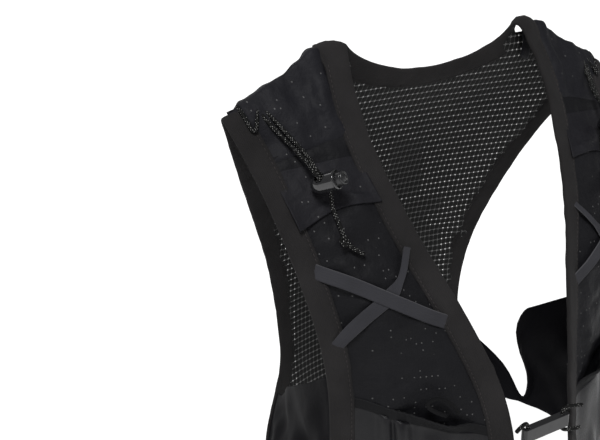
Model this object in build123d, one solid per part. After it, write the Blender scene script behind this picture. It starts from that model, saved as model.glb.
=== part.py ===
"""Running hydration vest, hung as if worn.

Frame: origin midway between the shoulders at the height of the straps' neck-side tops.
+X is the wearer's left, -Y the wearer's front, +Z up. Millimetres.
The right-hand half is modelled at negative X and mirrored for the left.
"""
import bisect
import math
import os

from build123d import *

# ---- driving dimensions ----------------------------------------------------
NECK_X = 76.0            # neck side of the shoulder, from the middle
TIP_X = 156.0            # outer tip of the shoulder
NECK_Z = -1.0
TIP_Z = -35.0
RIDGE_Y = 8.0            # the shoulder fold lies in this plane
HEM_Z = -345.0           # bottom edge of the straps and of the back panel
HEM_TALL = 12.0
TAPE = 15.0              # width of the binding tapes
TAPE_THICK = 3.4
TAPE_INSET = -1.2        # the tapes wrap to this side of the panel
PANEL = 1.2              # strap cloth with its lining
MESH = 1.0
GAP = 0.3                # between layers that lie on each other
SIDE_GAP = 1.0           # between a pocket's edge and the tape beside it
DEPTH = 300.0            # cutting prisms reach this far each way

UPPER_TOP = -47.0        # upper pocket, its flap, flask pocket and lower pocket
UPPER_LOW = -84.0
UPPER_THICK = 2.0
FLAP_TOP = -60.0
FLAP_LOW = -94.0
FLAP_SLANT = 8.0
FLAP_THICK = 0.8
FLAP_LIFT = 4.2
FLASK_TOP = -86.0
FLASK_CROWN = 5.0
LOWER_OUT_Z = -194.0     # mouth of the lower pocket at the arm side and at the neck side
LOWER_IN_Z = -230.0
LOWER_CROWN = 7.0
MOUTH_HEM = 9.0
WALL = 1.05

BAND = 9.0               # elastic bands over the flask pocket
BAND_THICK = 0.9
CORD = 2.6               # elastic pocket cord, diameter

LOCK_R = 5.9             # cord lock barrel
LOCK_BACK = 11.0         # from the barrel's middle to its rounded end
LOCK_FRONT = 7.0
LOCK_DOME = 7.0
BORE_R = 4.4
BORE_END = -7.9
PLUNGER_R = 4.3
PLUNGER_BACK = -4.4
PLUNGER_FRONT = 11.0
PRESS = 2.4              # plunger travel
CORD_HOLE_R = 3.2
CORD_HOLE_X = -2.5
SPRING_THICK = 0.9
LOCK_TILT = 45.0         # barrel axis out of the cloth
LOCK_ROLL = 30.0         # cord hole turned up the strap
LOCK_AT = (-115.5, -69.0, 17.0)      # across, height, stand-off from the strap

SLEEVE_TOP = -178.0      # rear sleeve and reservoir
SLEEVE_HALF = 70.0
SLEEVE_CROWN = 23.0
RESERVOIR_HALF = 58.0
RESERVOIR_LOW = -328.0
RESERVOIR_NECK = -163.0
RESERVOIR_CROWN = 17.0
BEAD_R = 1.6
BAR = (150.0, 8.0, 10.0)
BAR_Z = -160.0
BAR_OFF = 9.0            # middle of the slide bar behind the mesh
PORT_Z = -300.0
PORT_R = 7.0

HOOK_Z = -236.0          # chest closure
HOOK_PIN_X = 15.0
HOOK_OFF = 3.0
HOOK_TALL = 9.0
HOOK_THICK = 5.0
LOOP_HALF = 8.0

# ---- the wearer's form -----------------------------------------------------


def smooth(*points):
    """A smooth function through (place, value) points, straight beyond its ends."""
    points = sorted(points)
    at = [p[0] for p in points]
    value = [p[1] for p in points]
    rise = [(value[i + 1] - value[i]) / (at[i + 1] - at[i]) for i in range(len(at) - 1)]
    slope = [rise[0]]
    for i in range(1, len(at) - 1):
        near, far = at[i] - at[i - 1], at[i + 1] - at[i]
        slope.append((rise[i - 1] * far + rise[i] * near) / (near + far))
    slope.append(rise[-1])

    def curve(x):
        if x <= at[0]:
            return value[0] + slope[0] * (x - at[0])
        if x >= at[-1]:
            return value[-1] + slope[-1] * (x - at[-1])
        i = bisect.bisect_right(at, x) - 1
        span = at[i + 1] - at[i]
        t = (x - at[i]) / span
        start = (1 + 2 * t) * (1 - t) ** 2 * value[i] + t * (1 - t) ** 2 * span * slope[i]
        end = t * t * (3 - 2 * t) * value[i + 1] + t * t * (t - 1) * span * slope[i + 1]
        return start + end

    return curve


# edges of the strap and of the back panel, as distances from the middle at each height
strap_inner = smooth((-1, 76), (-50, 76), (-106, 63), (-162, 42), (-215, 27), (-290, 26), (-345, 32))
strap_outer = smooth((-35, 156), (-62, 150), (-122, 139), (-180, 129), (-236, 128), (-290, 131), (-345, 134))
back_outer = smooth((-35, 156), (-62, 145), (-121, 119), (-180, 98), (-235, 89), (-262, 89),
                    (-285, 100), (-310, 115), (-345, 121))
# how far forward each edge of the strap has come, by the drop below the shoulder
inner_fall = smooth((0, 0), (22, 20), (50, 36), (105, 66), (161, 92), (214, 114), (289, 130), (349, 132))
outer_fall = smooth((0, 0), (27, 21), (87, 56), (145, 70), (201, 74), (255, 70), (315, 60))
# the back panel's middle line, and how strongly it curls round the ribs
spine = smooth((0, 0), (-26, 14), (-60, 38), (-100, 58), (-160, 78), (-256, 92), (-330, 90))
curl = smooth((0, -0.0014), (-18, 0.00013), (-35, 0.0005), (-118, 0.0012), (-256, 0.0021), (-330, 0.003))


def ridge(x):
    """Height of the shoulder fold."""
    return NECK_Z + (TIP_Z - NECK_Z) * (abs(x) - NECK_X) / (TIP_X - NECK_X)


def across(x, z):
    """0 at the strap's neck edge, 1 at its arm edge."""
    return (abs(x) - strap_inner(z)) / (strap_outer(z) - strap_inner(z))


def front_y(x, z):
    drop = ridge(x) - z
    part = across(x, z)
    return RIDGE_Y - (1 - part) * inner_fall(drop) - part * outer_fall(drop)


def back_y(x, z):
    return spine(z) - curl(z) * x * x


def on_front(x, z, lift=0.0):
    return Vector(x, front_y(x, z) - lift, z)


def dome(t):
    """1 over most of the way between -1 and 1, 0 at both ends."""
    return max(0.0, 1 - t ** 4)


flask_swell = smooth((-86, 0.12), (-100, 0.35), (-145, 1.0), (-185, 0.8), (-205, 0.45))
lower_swell = smooth((-190, 0.5), (-230, 0.9), (-290, 1.0), (-333, 0.1))
sleeve_swell = smooth((-178, 0.55), (-230, 1.0), (-290, 0.85), (-340, 0.05))
reservoir_swell = smooth((-163, 0.12), (-188, 0.45), (-235, 1.0), (-290, 0.85), (-328, 0.1))


def flask_crown(x, z):
    return FLASK_CROWN * dome(2.3 * (across(x, z) - 0.5)) * max(0.0, flask_swell(z))


def lower_crown(x, z):
    return LOWER_CROWN * dome(2.3 * (across(x, z) - 0.5)) * max(0.0, lower_swell(z))


def sleeve_crown(x, z):
    return SLEEVE_CROWN * dome(x / SLEEVE_HALF) * max(0.0, sleeve_swell(z))


def reservoir_crown(x, z):
    return RESERVOIR_CROWN * dome(x / RESERVOIR_HALF) * max(0.0, reservoir_swell(z))


# ---- making solids ---------------------------------------------------------


def steps(low, high, count):
    return [low + (high - low) * i / (count - 1) for i in range(count)]


def surface(depth, x_range, z_range, columns, rows):
    grid = [[Vector(x, depth(x, z), z) for z in steps(*z_range, rows)] for x in steps(*x_range, columns)]
    return Face.make_surface_from_array_of_points(grid)


def front_layer(lift, thickness, crown=None):
    """A cloth layer over the right strap, its inner face lift away from the strap's own inner face."""
    def depth(x, z):
        return front_y(x, z) - lift - (crown(x, z) if crown else 0.0)
    face = surface(depth, (-170, -12), (8, HEM_Z - 12), 9, 15)
    return extrude(face, thickness, dir=(0, -1, 0))


def back_layer(lift, thickness, crown=None, half=168.0):
    """A cloth layer over the back panel, its inner face lift behind the panel's own inner face."""
    def depth(x, z):
        return back_y(x, z) + lift + (crown(x, z) if crown else 0.0)
    face = surface(depth, (-half, half), (8, HEM_Z - 12), 13, 15)
    return extrude(face, thickness, dir=(0, 1, 0))


def prism(*edges):
    """The space in front of and behind a flat outline, given as edges in (x, z)."""
    return extrude(Plane.XZ * make_face(Wire(edges)), DEPTH, both=True)


def outline(*points):
    corners = [Vector(*p) for p in points]
    return prism(*Polyline(*corners, close=True).edges())


def one_solid(shape):
    return Solid(max(shape.solids(), key=lambda s: s.volume).wrapped)


def edge_at(curve, side, shift, top, bottom, count=9):
    """A panel's edge, moved sideways by shift, as (x, z) points from top to bottom."""
    return [(side * (curve(z) + shift), z) for z in steps(top, bottom, count)]


def strip(left, right):
    """The prism between two lists of (x, z) points that both run downwards."""
    edges = [Spline(*left), Line(left[-1], right[-1]), Spline(*reversed(right)), Line(right[0], left[0])]
    return prism(*edges)


def strap_strip(inner_shift, outer_shift, top_in, top_out, low_in, low_out):
    """The part of the right strap between two lines, kept clear of its edges by the shifts."""
    inner = edge_at(strap_inner, -1, inner_shift, top_in, low_in)
    outer = edge_at(strap_outer, -1, -outer_shift, top_out, low_out)
    return strip(outer, inner)


def strap_piece(layer, top_in, top_out, low_in, low_out):
    shift = TAPE + SIDE_GAP
    return one_solid(layer & strap_strip(shift, shift, top_in, top_out, low_in, low_out))


def tube(points, radii, diameter):
    """A round cord along straight runs and tangent arcs."""
    path = FilletPolyline(*points, radius=radii) if radii else Line(*points)
    start = path.edges()[0]
    section = Plane(origin=start @ 0, z_dir=start % 0) * Circle(diameter / 2)
    return one_solid(sweep(section, path=path))


def fair_radii(points):
    """The largest arcs that a route's runs leave room for."""
    radii = []
    for before, at, after in zip(points, points[1:], points[2:]):
        turn = math.radians((at - before).get_angle(after - at))
        run = min((at - before).length, (after - at).length)
        radii.append(0.45 * run / math.tan(turn / 2))
    return radii


# ---- back panel and tapes --------------------------------------------------
RIDGE_IN = (-NECK_X - TAPE, ridge(NECK_X + TAPE))
RIDGE_OUT = (-TIP_X + TAPE, ridge(TIP_X - TAPE))
NECKLINE = [(-NECK_X, NECK_Z), (-50, -15), (0, -25.5), (50, -15), (NECK_X, NECK_Z)]
NECK_TAPE_LOW = [RIDGE_IN, (-80, -20), (-50, -31), (0, -40.5), (50, -31), (80, -20),
                 (-RIDGE_IN[0], RIDGE_IN[1])]


def make_back_mesh():
    left = edge_at(back_outer, -1, -TAPE, RIDGE_OUT[1], HEM_Z + HEM_TALL, 12)
    right = [(-x, z) for x, z in left]
    edges = [Spline(*left), Line(left[-1], right[-1]), Spline(*reversed(right)),
             Line(right[0], NECK_TAPE_LOW[-1]),
             Spline(*reversed(NECK_TAPE_LOW)), Line(NECK_TAPE_LOW[0], left[0])]
    return one_solid(back_layer(0, MESH) & prism(*edges))


def make_back_hem():
    half = back_outer(HEM_Z) - TAPE
    box = outline((-half, HEM_Z), (half, HEM_Z), (half, HEM_Z + HEM_TALL), (-half, HEM_Z + HEM_TALL))
    return one_solid(back_layer(TAPE_INSET, TAPE_THICK) & box)


def make_arm_tape():
    """One tape round the armhole: down the strap's arm side and down the panel's side."""
    outer = edge_at(strap_outer, -1, 0, TIP_Z, HEM_Z)
    inner = edge_at(strap_outer, -1, -TAPE, RIDGE_OUT[1], HEM_Z)
    front = front_layer(TAPE_INSET, TAPE_THICK) & strip(outer, inner)
    outer = edge_at(back_outer, -1, 0, TIP_Z, HEM_Z, 12)
    inner = edge_at(back_outer, -1, -TAPE, RIDGE_OUT[1], HEM_Z, 12)
    back = back_layer(TAPE_INSET, TAPE_THICK) & strip(outer, inner)
    return one_solid(front + back)


def make_neck_tape():
    """One tape up one strap, round the back of the neck and down the other strap."""
    inner = edge_at(strap_inner, -1, 0, NECK_Z, HEM_Z)
    outer = edge_at(strap_inner, -1, TAPE, RIDGE_IN[1], HEM_Z)
    right = front_layer(TAPE_INSET, TAPE_THICK) & strip(outer, inner)
    ends = [Line(NECKLINE[-1], NECK_TAPE_LOW[-1]), Line(NECK_TAPE_LOW[0], NECKLINE[0])]
    ring = prism(Spline(*NECKLINE), ends[0], Spline(*reversed(NECK_TAPE_LOW)), ends[1])
    collar = back_layer(TAPE_INSET, TAPE_THICK) & ring
    return one_solid(collar + right + mirror(right, Plane.YZ))


def make_hang_loop():
    z_top = NECKLINE[2][1] - 5
    y_out = back_y(0, z_top) + TAPE_INSET + TAPE_THICK
    body = Pos(0, y_out + 7, z_top - 3) * Box(34, 14, 6)
    hollow = Pos(0, y_out + 5.4, z_top - 3) * Box(28, 14, 8)
    loop = fillet(body.edges().filter_by(Axis.Z).sort_by(Axis.Y)[-2:], 4) - hollow
    return one_solid(loop - back_layer(TAPE_INSET, TAPE_THICK))


def make_back_patch():
    patch = outline((2, -88), (31, -90), (44, -140), (14, -140))
    return one_solid(back_layer(MESH + GAP, 1.0) & patch)


# ---- right strap -----------------------------------------------------------


def make_strap_panel():
    low = HEM_Z + HEM_TALL
    inner = edge_at(strap_inner, -1, TAPE, RIDGE_IN[1], low)
    outer = edge_at(strap_outer, -1, -TAPE, RIDGE_OUT[1], low)
    return one_solid(front_layer(0, PANEL) & strip(outer, inner))


def make_strap_hem():
    top = HEM_Z + HEM_TALL
    inner = edge_at(strap_inner, -1, TAPE, top, HEM_Z, 3)
    outer = edge_at(strap_outer, -1, -TAPE, top, HEM_Z, 3)
    return one_solid(front_layer(TAPE_INSET, TAPE_THICK) & strip(outer, inner))


def make_upper_pocket():
    layer = front_layer(PANEL + GAP, UPPER_THICK)
    return strap_piece(layer, UPPER_TOP, UPPER_TOP - 13, UPPER_LOW, UPPER_LOW)


def make_pocket_flap():
    layer = front_layer(FLAP_LIFT, FLAP_THICK)
    return strap_piece(layer, FLAP_TOP, FLAP_TOP - 6, FLAP_LOW + FLAP_SLANT, FLAP_LOW)


def make_flask_pocket():
    layer = front_layer(PANEL + GAP, WALL, flask_crown)
    low_in, low_out = LOWER_IN_Z + MOUTH_HEM, LOWER_OUT_Z + MOUTH_HEM
    return strap_piece(layer, FLASK_TOP, FLASK_TOP, low_in - 6, low_out - 6)


def make_lower_pocket():
    layer = front_layer(PANEL + 2 * GAP + WALL, WALL, lower_crown)
    low = HEM_Z + HEM_TALL + SIDE_GAP
    top_in, top_out = LOWER_IN_Z - MOUTH_HEM, LOWER_OUT_Z - MOUTH_HEM
    return strap_piece(layer, top_in, top_out, low, low)


def make_lower_mouth():
    """The elastic hem along the lower pocket's mouth."""
    layer = front_layer(PANEL + 2 * GAP + WALL, 1.8, lower_crown)
    top_in, top_out = LOWER_IN_Z, LOWER_OUT_Z
    return strap_piece(layer, top_in, top_out, top_in - MOUTH_HEM, top_out - MOUTH_HEM)


def band_prism(start, end, width):
    """A straight strip between two (x, z) points."""
    (x0, z0), (x1, z1) = start, end
    length = math.hypot(x1 - x0, z1 - z0)
    side_x, side_z = -(z1 - z0) / length * width / 2, (x1 - x0) / length * width / 2
    return outline((x0 + side_x, z0 + side_z), (x1 + side_x, z1 + side_z),
                   (x1 - side_x, z1 - side_z), (x0 - side_x, z0 - side_z))


LONG_BAND = ((-129, -122.5), (-56, -160))
SHORT_BAND = ((-73, -118), (-121, -166))
CROSSING = (-89, -142)
BAND_LIFT = PANEL + GAP + WALL + 0.6


def make_long_band():
    layer = front_layer(BAND_LIFT + BAND_THICK + 0.2, BAND_THICK, flask_crown)
    return one_solid(layer & band_prism(*LONG_BAND, BAND))


def make_short_band():
    layer = front_layer(BAND_LIFT, BAND_THICK, flask_crown)
    return one_solid(layer & band_prism(*SHORT_BAND, BAND))


def make_bar_tack():
    """The stitched square that joins the bands where they cross."""
    x, z = CROSSING
    layer = front_layer(BAND_LIFT + 2 * BAND_THICK + 0.3, 0.6, flask_crown)
    return one_solid(layer & band_prism((x - 3, z + 1.5), (x + 3, z - 1.5), 6))


def make_pull_loop():
    """A small cord pull at the lower pocket's mouth."""
    lift = PANEL + WALL + LOWER_CROWN + 3.5
    route = [(-61, -213), (-64, -207), (-72, -203.5), (-79, -206), (-76, -211), (-68, -214)]
    points = [on_front(x, z, lift) for x, z in route]
    return tube(points, [2.4, 5, 3.2, 2.2], CORD)


# ---- pocket cord and its lock ---------------------------------------------
ANCHOR = [(-149, -27, 3.6), (-144.5, -41, 4.4), (-135, -30, 4.4)]


def lock_plane():
    """Local X along the plunger, local Z along the cord hole, at the barrel's middle."""
    x, z, lift = LOCK_AT
    centre = on_front(x, z, lift)
    along = (on_front(x + 5, z) - on_front(x - 5, z)).normalized()
    up = (on_front(x, z + 5) - on_front(x, z - 5)).normalized()
    outward = along.cross(up).normalized()
    up = outward.cross(along).normalized()
    tilt, roll = math.radians(LOCK_TILT), math.radians(LOCK_ROLL)
    axis = along * math.cos(tilt) + outward * math.sin(tilt)
    square = outward * math.cos(tilt) - along * math.sin(tilt)
    hole = square * math.cos(roll) + up * math.sin(roll)
    return Plane(origin=centre, x_dir=axis, z_dir=hole)


LOCK = lock_plane()


def in_lock(x, y, z):
    return LOCK.from_local_coords(Vector(x, y, z))


def along_axis(x_low, x_high, radius):
    """A cylinder on the lock's long axis."""
    return Pos((x_low + x_high) / 2, 0, 0) * Rot(0, 90, 0) * Cylinder(radius, x_high - x_low)


def make_lock_body():
    shoulder = LOCK_DOME - LOCK_BACK
    barrel = along_axis(shoulder, LOCK_FRONT, LOCK_R)
    barrel = fillet(barrel.edges().sort_by(Axis.X)[-1], 1.0)
    end = Pos(shoulder, 0, 0) * scale(Sphere(1), by=(LOCK_DOME, LOCK_R, LOCK_R))
    bore = along_axis(BORE_END, LOCK_FRONT + 1, BORE_R)
    hole = Pos(CORD_HOLE_X, 0, 0) * Cylinder(CORD_HOLE_R, 4 * LOCK_R)
    return one_solid(LOCK * (barrel + end - bore - hole))


def make_lock_plunger():
    stem = along_axis(PLUNGER_BACK, PLUNGER_FRONT, PLUNGER_R)
    stem = fillet(stem.edges().sort_by(Axis.X)[-1], 1.4)
    hole = Pos(CORD_HOLE_X + PRESS, 0, 0) * Cylinder(CORD_HOLE_R, 4 * LOCK_R)
    return one_solid(LOCK * (stem - hole))


def make_lock_spring():
    """A wave washer, drawn at its pressed height, at the bottom of the bore."""
    disc = along_axis(BORE_END, BORE_END + SPRING_THICK, PLUNGER_R - 0.3)
    hole = along_axis(BORE_END - 1, BORE_END + 2, PLUNGER_R - 1.7)
    return one_solid(LOCK * (disc - hole))


STRAND = 1.36                                    # half the distance between the two strands
HOLE_MID = CORD_HOLE_X + PRESS / 2
STRAND_ROUTE = [(-134.5, -32.5, 4.2), (-127.5, -45, 5.6), (-120.5, -57.5, 11.5)]
TAIL_EXIT = in_lock(HOLE_MID, 0, -LOCK_R - 0.6)
TAIL_ROUTE = [(-112.5, -84.5, 7.0), (-111.6, -91, 6.8), (-110.5, -97.5, 7.6), (-110.8, -103.5, 8.8),
              (-106.5, -108.5, 8.4), (-100.5, -112.5, 8.4)]
KNOT_AT = (-110.8, -103.5, 9.0)
KNOT_R = 2.9


def strand_points(side):
    """One strand, from the anchor's bend to the middle of the lock."""
    step = side * STRAND
    points = [on_front(x + 0.8 * step, z + 0.5 * step, lift) for x, z, lift in STRAND_ROUTE]
    return points + [in_lock(HOLE_MID, side * STRAND, 2.0 * LOCK_R), in_lock(HOLE_MID, side * STRAND, 0)]


def make_pocket_cord():
    """One cord from the lock round the anchor and back."""
    one, other = strand_points(1), strand_points(-1)
    points = list(reversed(one)) + other
    radii = fair_radii(points)
    print("pocket cord radii", [round(r, 1) for r in radii])
    return tube(points, radii, CORD)


def make_cord_anchor():
    points = [on_front(*p) for p in ANCHOR]
    return tube(points, [3.0], CORD)


def make_cord_tail():
    points = [in_lock(HOLE_MID, 0, 0), TAIL_EXIT] + [on_front(*p) for p in TAIL_ROUTE]
    radii = fair_radii(points)
    print("cord tail radii", [round(r, 1) for r in radii])
    return tube(points, radii, CORD)


def make_tail_knot():
    return Pos(on_front(*KNOT_AT)) * scale(Sphere(1), by=(KNOT_R, KNOT_R, KNOT_R * 1.25))


# ---- side wing, rear sleeve, reservoir ------------------------------------


WING_TOP_FRONT, WING_TOP_BACK = -186.0, -283.0   # upper ends of the wing, at the strap and at the back panel
WING_DIP_RIGHT, WING_DIP_LEFT = 6.0, 75.0        # how far the top edge sags between them, nearer the back
WING_DIP_START = 0.56                            # share of the way from the strap to the back where it starts
WING_BULGE = 10.0
WING_GAP = 1.5                                   # between the wing and the sides of the tapes
WING_THICK = 1.2


def wing_front(z):
    return front_y(strap_outer(z), z) - 3


def wing_back(z):
    return back_y(back_outer(z), z) + 2


def wing_out(y, z):
    """Distance of the wing from the middle, between the strap's arm edge and the back panel's side."""
    part = (y - wing_front(z)) / (wing_back(z) - wing_front(z))
    straight = strap_outer(z) + (back_outer(z) - strap_outer(z)) * part
    return straight + WING_BULGE * 4 * part * (1 - part) + WING_GAP


def wing_top(part, dip):
    """Height of the wing's top edge, from the strap (0) to the back panel (1)."""
    past = max(0.0, part - WING_DIP_START) / (1 - WING_DIP_START)
    return WING_TOP_FRONT + (WING_TOP_BACK - WING_TOP_FRONT) * part - dip * math.sin(math.pi * past) ** 2


def make_side_wing(dip):
    """The cloth under the right arm, from the back panel's side to the strap's arm edge."""
    face = Rot(0, 0, 90) * surface(wing_out, (-84, 90), (-165, -355), 9, 9)
    sheet = extrude(face, WING_THICK, dir=(-1, 0, 0))
    front = [(wing_front(z), z) for z in steps(WING_TOP_FRONT, HEM_Z, 7)]
    back = [(wing_back(z), z) for z in steps(WING_TOP_BACK, HEM_Z, 7)]
    shares = steps(1.0, 0.0, 16)
    rim = [(front[0][0] + (back[0][0] - front[0][0]) * share, wing_top(share, dip)) for share in shares]
    edges = [Spline(*front), Line(front[-1], back[-1]), Spline(*reversed(back)), Spline(*rim)]
    side_view = extrude(Plane.YZ * make_face(Wire(edges)), 200, both=True)
    return one_solid(sheet & side_view)


def make_right_wing():
    return make_side_wing(WING_DIP_RIGHT)


def make_left_wing():
    return mirror(make_side_wing(WING_DIP_LEFT), Plane.YZ)


def make_rear_sleeve():
    layer = back_layer(MESH + GAP, WALL, sleeve_crown)
    half = SLEEVE_HALF
    low = HEM_Z + HEM_TALL + SIDE_GAP
    top = SLEEVE_TOP - MOUTH_HEM
    return one_solid(layer & outline((-half, top), (half, top), (half, low), (-half, low)))


def make_sleeve_mouth():
    layer = back_layer(MESH + GAP, 1.9, sleeve_crown)
    half, top = SLEEVE_HALF, SLEEVE_TOP
    low = top - MOUTH_HEM
    return one_solid(layer & outline((-half, top), (half, top), (half, low), (-half, low)))


def bar_middle():
    return back_y(0, BAR_Z) + BAR_OFF


def make_reservoir():
    """Flat water bladder with a bead along its folded top, for the slide bar."""
    lift = MESH + 2 * GAP
    inner = surface(lambda x, z: back_y(x, z) + lift, (-80, 80), (-130, -345), 9, 16)
    def outer_y(x, z):
        return back_y(x, z) + lift + 0.8 + reservoir_crown(x, z)

    outer = surface(outer_y, (-80, 80), (-130, -345), 9, 16)
    half = RESERVOIR_HALF
    shape = extrude(inner, 60, dir=(0, 1, 0)) & extrude(outer, 60, dir=(0, -1, 0))
    face = Pos(0, (RESERVOIR_NECK - 6 + RESERVOIR_LOW) / 2) * RectangleRounded(
        2 * half, RESERVOIR_NECK - 6 - RESERVOIR_LOW, 18)
    bag = shape & extrude(Plane.XZ * face, DEPTH, both=True)
    y = bar_middle()
    bead = Pos(0, y, BAR_Z) * Rot(0, 90, 0) * Cylinder(BEAD_R, 2 * half)
    web_low = RESERVOIR_NECK - 14
    low_y = back_y(0, web_low) + lift + 3
    web = extrude(Plane.YZ * make_face(Polyline((y - 0.5, BAR_Z), (y + 0.5, BAR_Z), (low_y + 1, web_low),
                                               (low_y - 1, web_low), close=True)), half, both=True)
    return one_solid(bag + web + bead)


def make_slide_bar():
    length, thick, tall = BAR
    y = bar_middle()
    body = Pos(0, y, BAR_Z) * Box(length, thick, tall)
    body = fillet(body.edges().filter_by(Axis.X), 2.2)
    channel = Pos(0, y, BAR_Z) * Rot(0, 90, 0) * Cylinder(BEAD_R + 0.2, length + 2)
    slot = Pos(0, y, BAR_Z - tall / 2) * Box(length + 2, 2.0, tall)
    return one_solid(body - channel - slot)


def port_base():
    return back_y(0, PORT_Z) + MESH + 2 * GAP + 0.8 + reservoir_crown(0, PORT_Z)


def make_outlet_port():
    """Short outlet on the bladder's outer face, inside the sleeve."""
    y = port_base() - 0.6
    disc = Pos(0, y + 0.9, PORT_Z) * Rot(90, 0, 0) * Cylinder(PORT_R, 1.8)
    return one_solid(disc - Pos(0, y, PORT_Z) * Rot(90, 0, 0) * Cylinder(3.0, 10))


# ---- chest closure ---------------------------------------------------------


def hook_y():
    return front_y(-strap_inner(HOOK_Z), HOOK_Z) - HOOK_OFF


def make_closure_loop(side):
    """A cord loop sewn to the strap's neck edge, with an upright end for the hook."""
    root = strap_inner(HOOK_Z) + 4
    y = hook_y()
    root_y = y - 4
    high, low = HOOK_Z + LOOP_HALF, HOOK_Z - LOOP_HALF
    points = [Vector(side * root, root_y, high), Vector(side * HOOK_PIN_X, y, high),
              Vector(side * HOOK_PIN_X, y, low), Vector(side * root, root_y, low)]
    return tube(points, [2.0, 2.0], CORD)


def make_closure_hook():
    y = hook_y()
    length = 2 * HOOK_PIN_X + 9
    body = Pos(0, y - 0.4, HOOK_Z) * Box(length, HOOK_THICK, HOOK_TALL)
    body = fillet(body.edges().filter_by(Axis.Z), 2.3)
    eye = Pos(HOOK_PIN_X, y, HOOK_Z) * Cylinder(CORD / 2 + 0.15, 20)
    seat = Pos(-HOOK_PIN_X, y, HOOK_Z) * Cylinder(CORD / 2 + 0.35, 20)
    slot = Pos(-HOOK_PIN_X, y + HOOK_THICK / 2, HOOK_Z) * Box(CORD + 0.7, HOOK_THICK, 20)
    return one_solid(body - eye - seat - slot)


# ---- write the nodes -------------------------------------------------------


def write(name, shape):
    export_step(shape, f"parts/{name}.step")


def main():
    os.makedirs("parts", exist_ok=True)
    single = {
        "back_mesh_panel": make_back_mesh, "back_hem": make_back_hem, "neck_tape": make_neck_tape,
        "hang_loop": make_hang_loop, "back_patch": make_back_patch, "rear_sleeve": make_rear_sleeve,
        "sleeve_mouth_hem": make_sleeve_mouth, "reservoir": make_reservoir,
        "reservoir_slide_bar": make_slide_bar, "reservoir_outlet": make_outlet_port,
        "closure_hook": make_closure_hook, "side_wing_right": make_right_wing,
        "side_wing_left": make_left_wing,
    }
    paired = {
        "arm_tape": make_arm_tape, "strap_panel": make_strap_panel, "strap_hem": make_strap_hem,
        "upper_pocket": make_upper_pocket, "pocket_flap": make_pocket_flap, "flask_pocket": make_flask_pocket,
        "lower_pocket": make_lower_pocket, "lower_mouth_hem": make_lower_mouth, "long_band": make_long_band,
        "short_band": make_short_band, "bar_tack": make_bar_tack, "pull_loop": make_pull_loop,
        "cord_anchor": make_cord_anchor, "pocket_cord": make_pocket_cord, "cord_tail": make_cord_tail,
        "tail_knot": make_tail_knot, "cord_lock_body": make_lock_body, "cord_lock_plunger": make_lock_plunger,
        "cord_lock_spring": make_lock_spring,
        "closure_loop": lambda: make_closure_loop(-1),
    }
    for name, make in single.items():
        write(name, make())
    for name, make in paired.items():
        right = make()
        write(f"{name}_right", right)
        write(f"{name}_left", mirror(right, Plane.YZ))


main()
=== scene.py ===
"""Looks of the running hydration vest: cloth, tapes, mesh, cords and materials round the CAD frame.

Lengths in this file are millimetres in the vest's own frame until a mesh is made, then metres.
The right strap is made at negative X and mirrored for the left one.
"""
import bisect
import math

import bpy
import numpy as np
from mathutils import Matrix, Vector, noise


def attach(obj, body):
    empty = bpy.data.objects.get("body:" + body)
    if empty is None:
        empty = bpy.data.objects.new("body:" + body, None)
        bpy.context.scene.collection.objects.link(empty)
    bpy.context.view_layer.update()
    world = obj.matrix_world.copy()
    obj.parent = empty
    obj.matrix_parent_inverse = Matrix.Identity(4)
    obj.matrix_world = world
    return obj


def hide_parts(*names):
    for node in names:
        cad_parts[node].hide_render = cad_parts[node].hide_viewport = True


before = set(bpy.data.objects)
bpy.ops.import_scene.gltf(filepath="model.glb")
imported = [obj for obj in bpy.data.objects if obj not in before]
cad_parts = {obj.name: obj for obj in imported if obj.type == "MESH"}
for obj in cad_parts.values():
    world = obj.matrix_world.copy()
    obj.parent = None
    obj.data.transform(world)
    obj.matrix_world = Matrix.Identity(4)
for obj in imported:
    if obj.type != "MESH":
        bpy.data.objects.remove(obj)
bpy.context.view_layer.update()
MM = 0.001
SIDES = (("right", 1), ("left", -1))

# ---- sizes that the looks share with the frame ------------------------------
NECK_X, TIP_X = 76.0, 156.0
NECK_Z, TIP_Z = -1.0, -35.0
RIDGE_Y = 8.0
HEM_Z = -345.0
HEM_TALL = 12.0
CORD = 2.6
SLEEVE_HALF = 70.0
SLEEVE_TOP = -178.0
SLEEVE_CROWN = 23.0
LOCK_R = 5.9


def smooth(*points):
    """A smooth function through (place, value) points, straight beyond its ends."""
    points = sorted(points)
    at = [p[0] for p in points]
    value = [p[1] for p in points]
    rise = [(value[i + 1] - value[i]) / (at[i + 1] - at[i]) for i in range(len(at) - 1)]
    slope = [rise[0]]
    for i in range(1, len(at) - 1):
        near, far = at[i] - at[i - 1], at[i + 1] - at[i]
        slope.append((rise[i - 1] * far + rise[i] * near) / (near + far))
    slope.append(rise[-1])

    def curve(x):
        if x <= at[0]:
            return value[0] + slope[0] * (x - at[0])
        if x >= at[-1]:
            return value[-1] + slope[-1] * (x - at[-1])
        i = bisect.bisect_right(at, x) - 1
        span = at[i + 1] - at[i]
        t = (x - at[i]) / span
        start = (1 + 2 * t) * (1 - t) ** 2 * value[i] + t * (1 - t) ** 2 * span * slope[i]
        end = t * t * (3 - 2 * t) * value[i + 1] + t * t * (t - 1) * span * slope[i + 1]
        return start + end

    return curve


# edges of the strap and of the back panel, as distances from the middle at each height
strap_inner = smooth((-1, 76), (-50, 76), (-106, 63), (-162, 42), (-215, 27), (-290, 26), (-345, 32))
strap_outer = smooth((-35, 156), (-62, 150), (-122, 139), (-180, 129), (-236, 128), (-290, 131), (-345, 134))
back_outer = smooth((-35, 156), (-62, 145), (-121, 119), (-180, 98), (-235, 89), (-262, 89),
                    (-285, 100), (-310, 115), (-345, 121))
neckline = smooth((-76, -1), (-50, -15), (0, -25.5), (50, -15), (76, -1))
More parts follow.
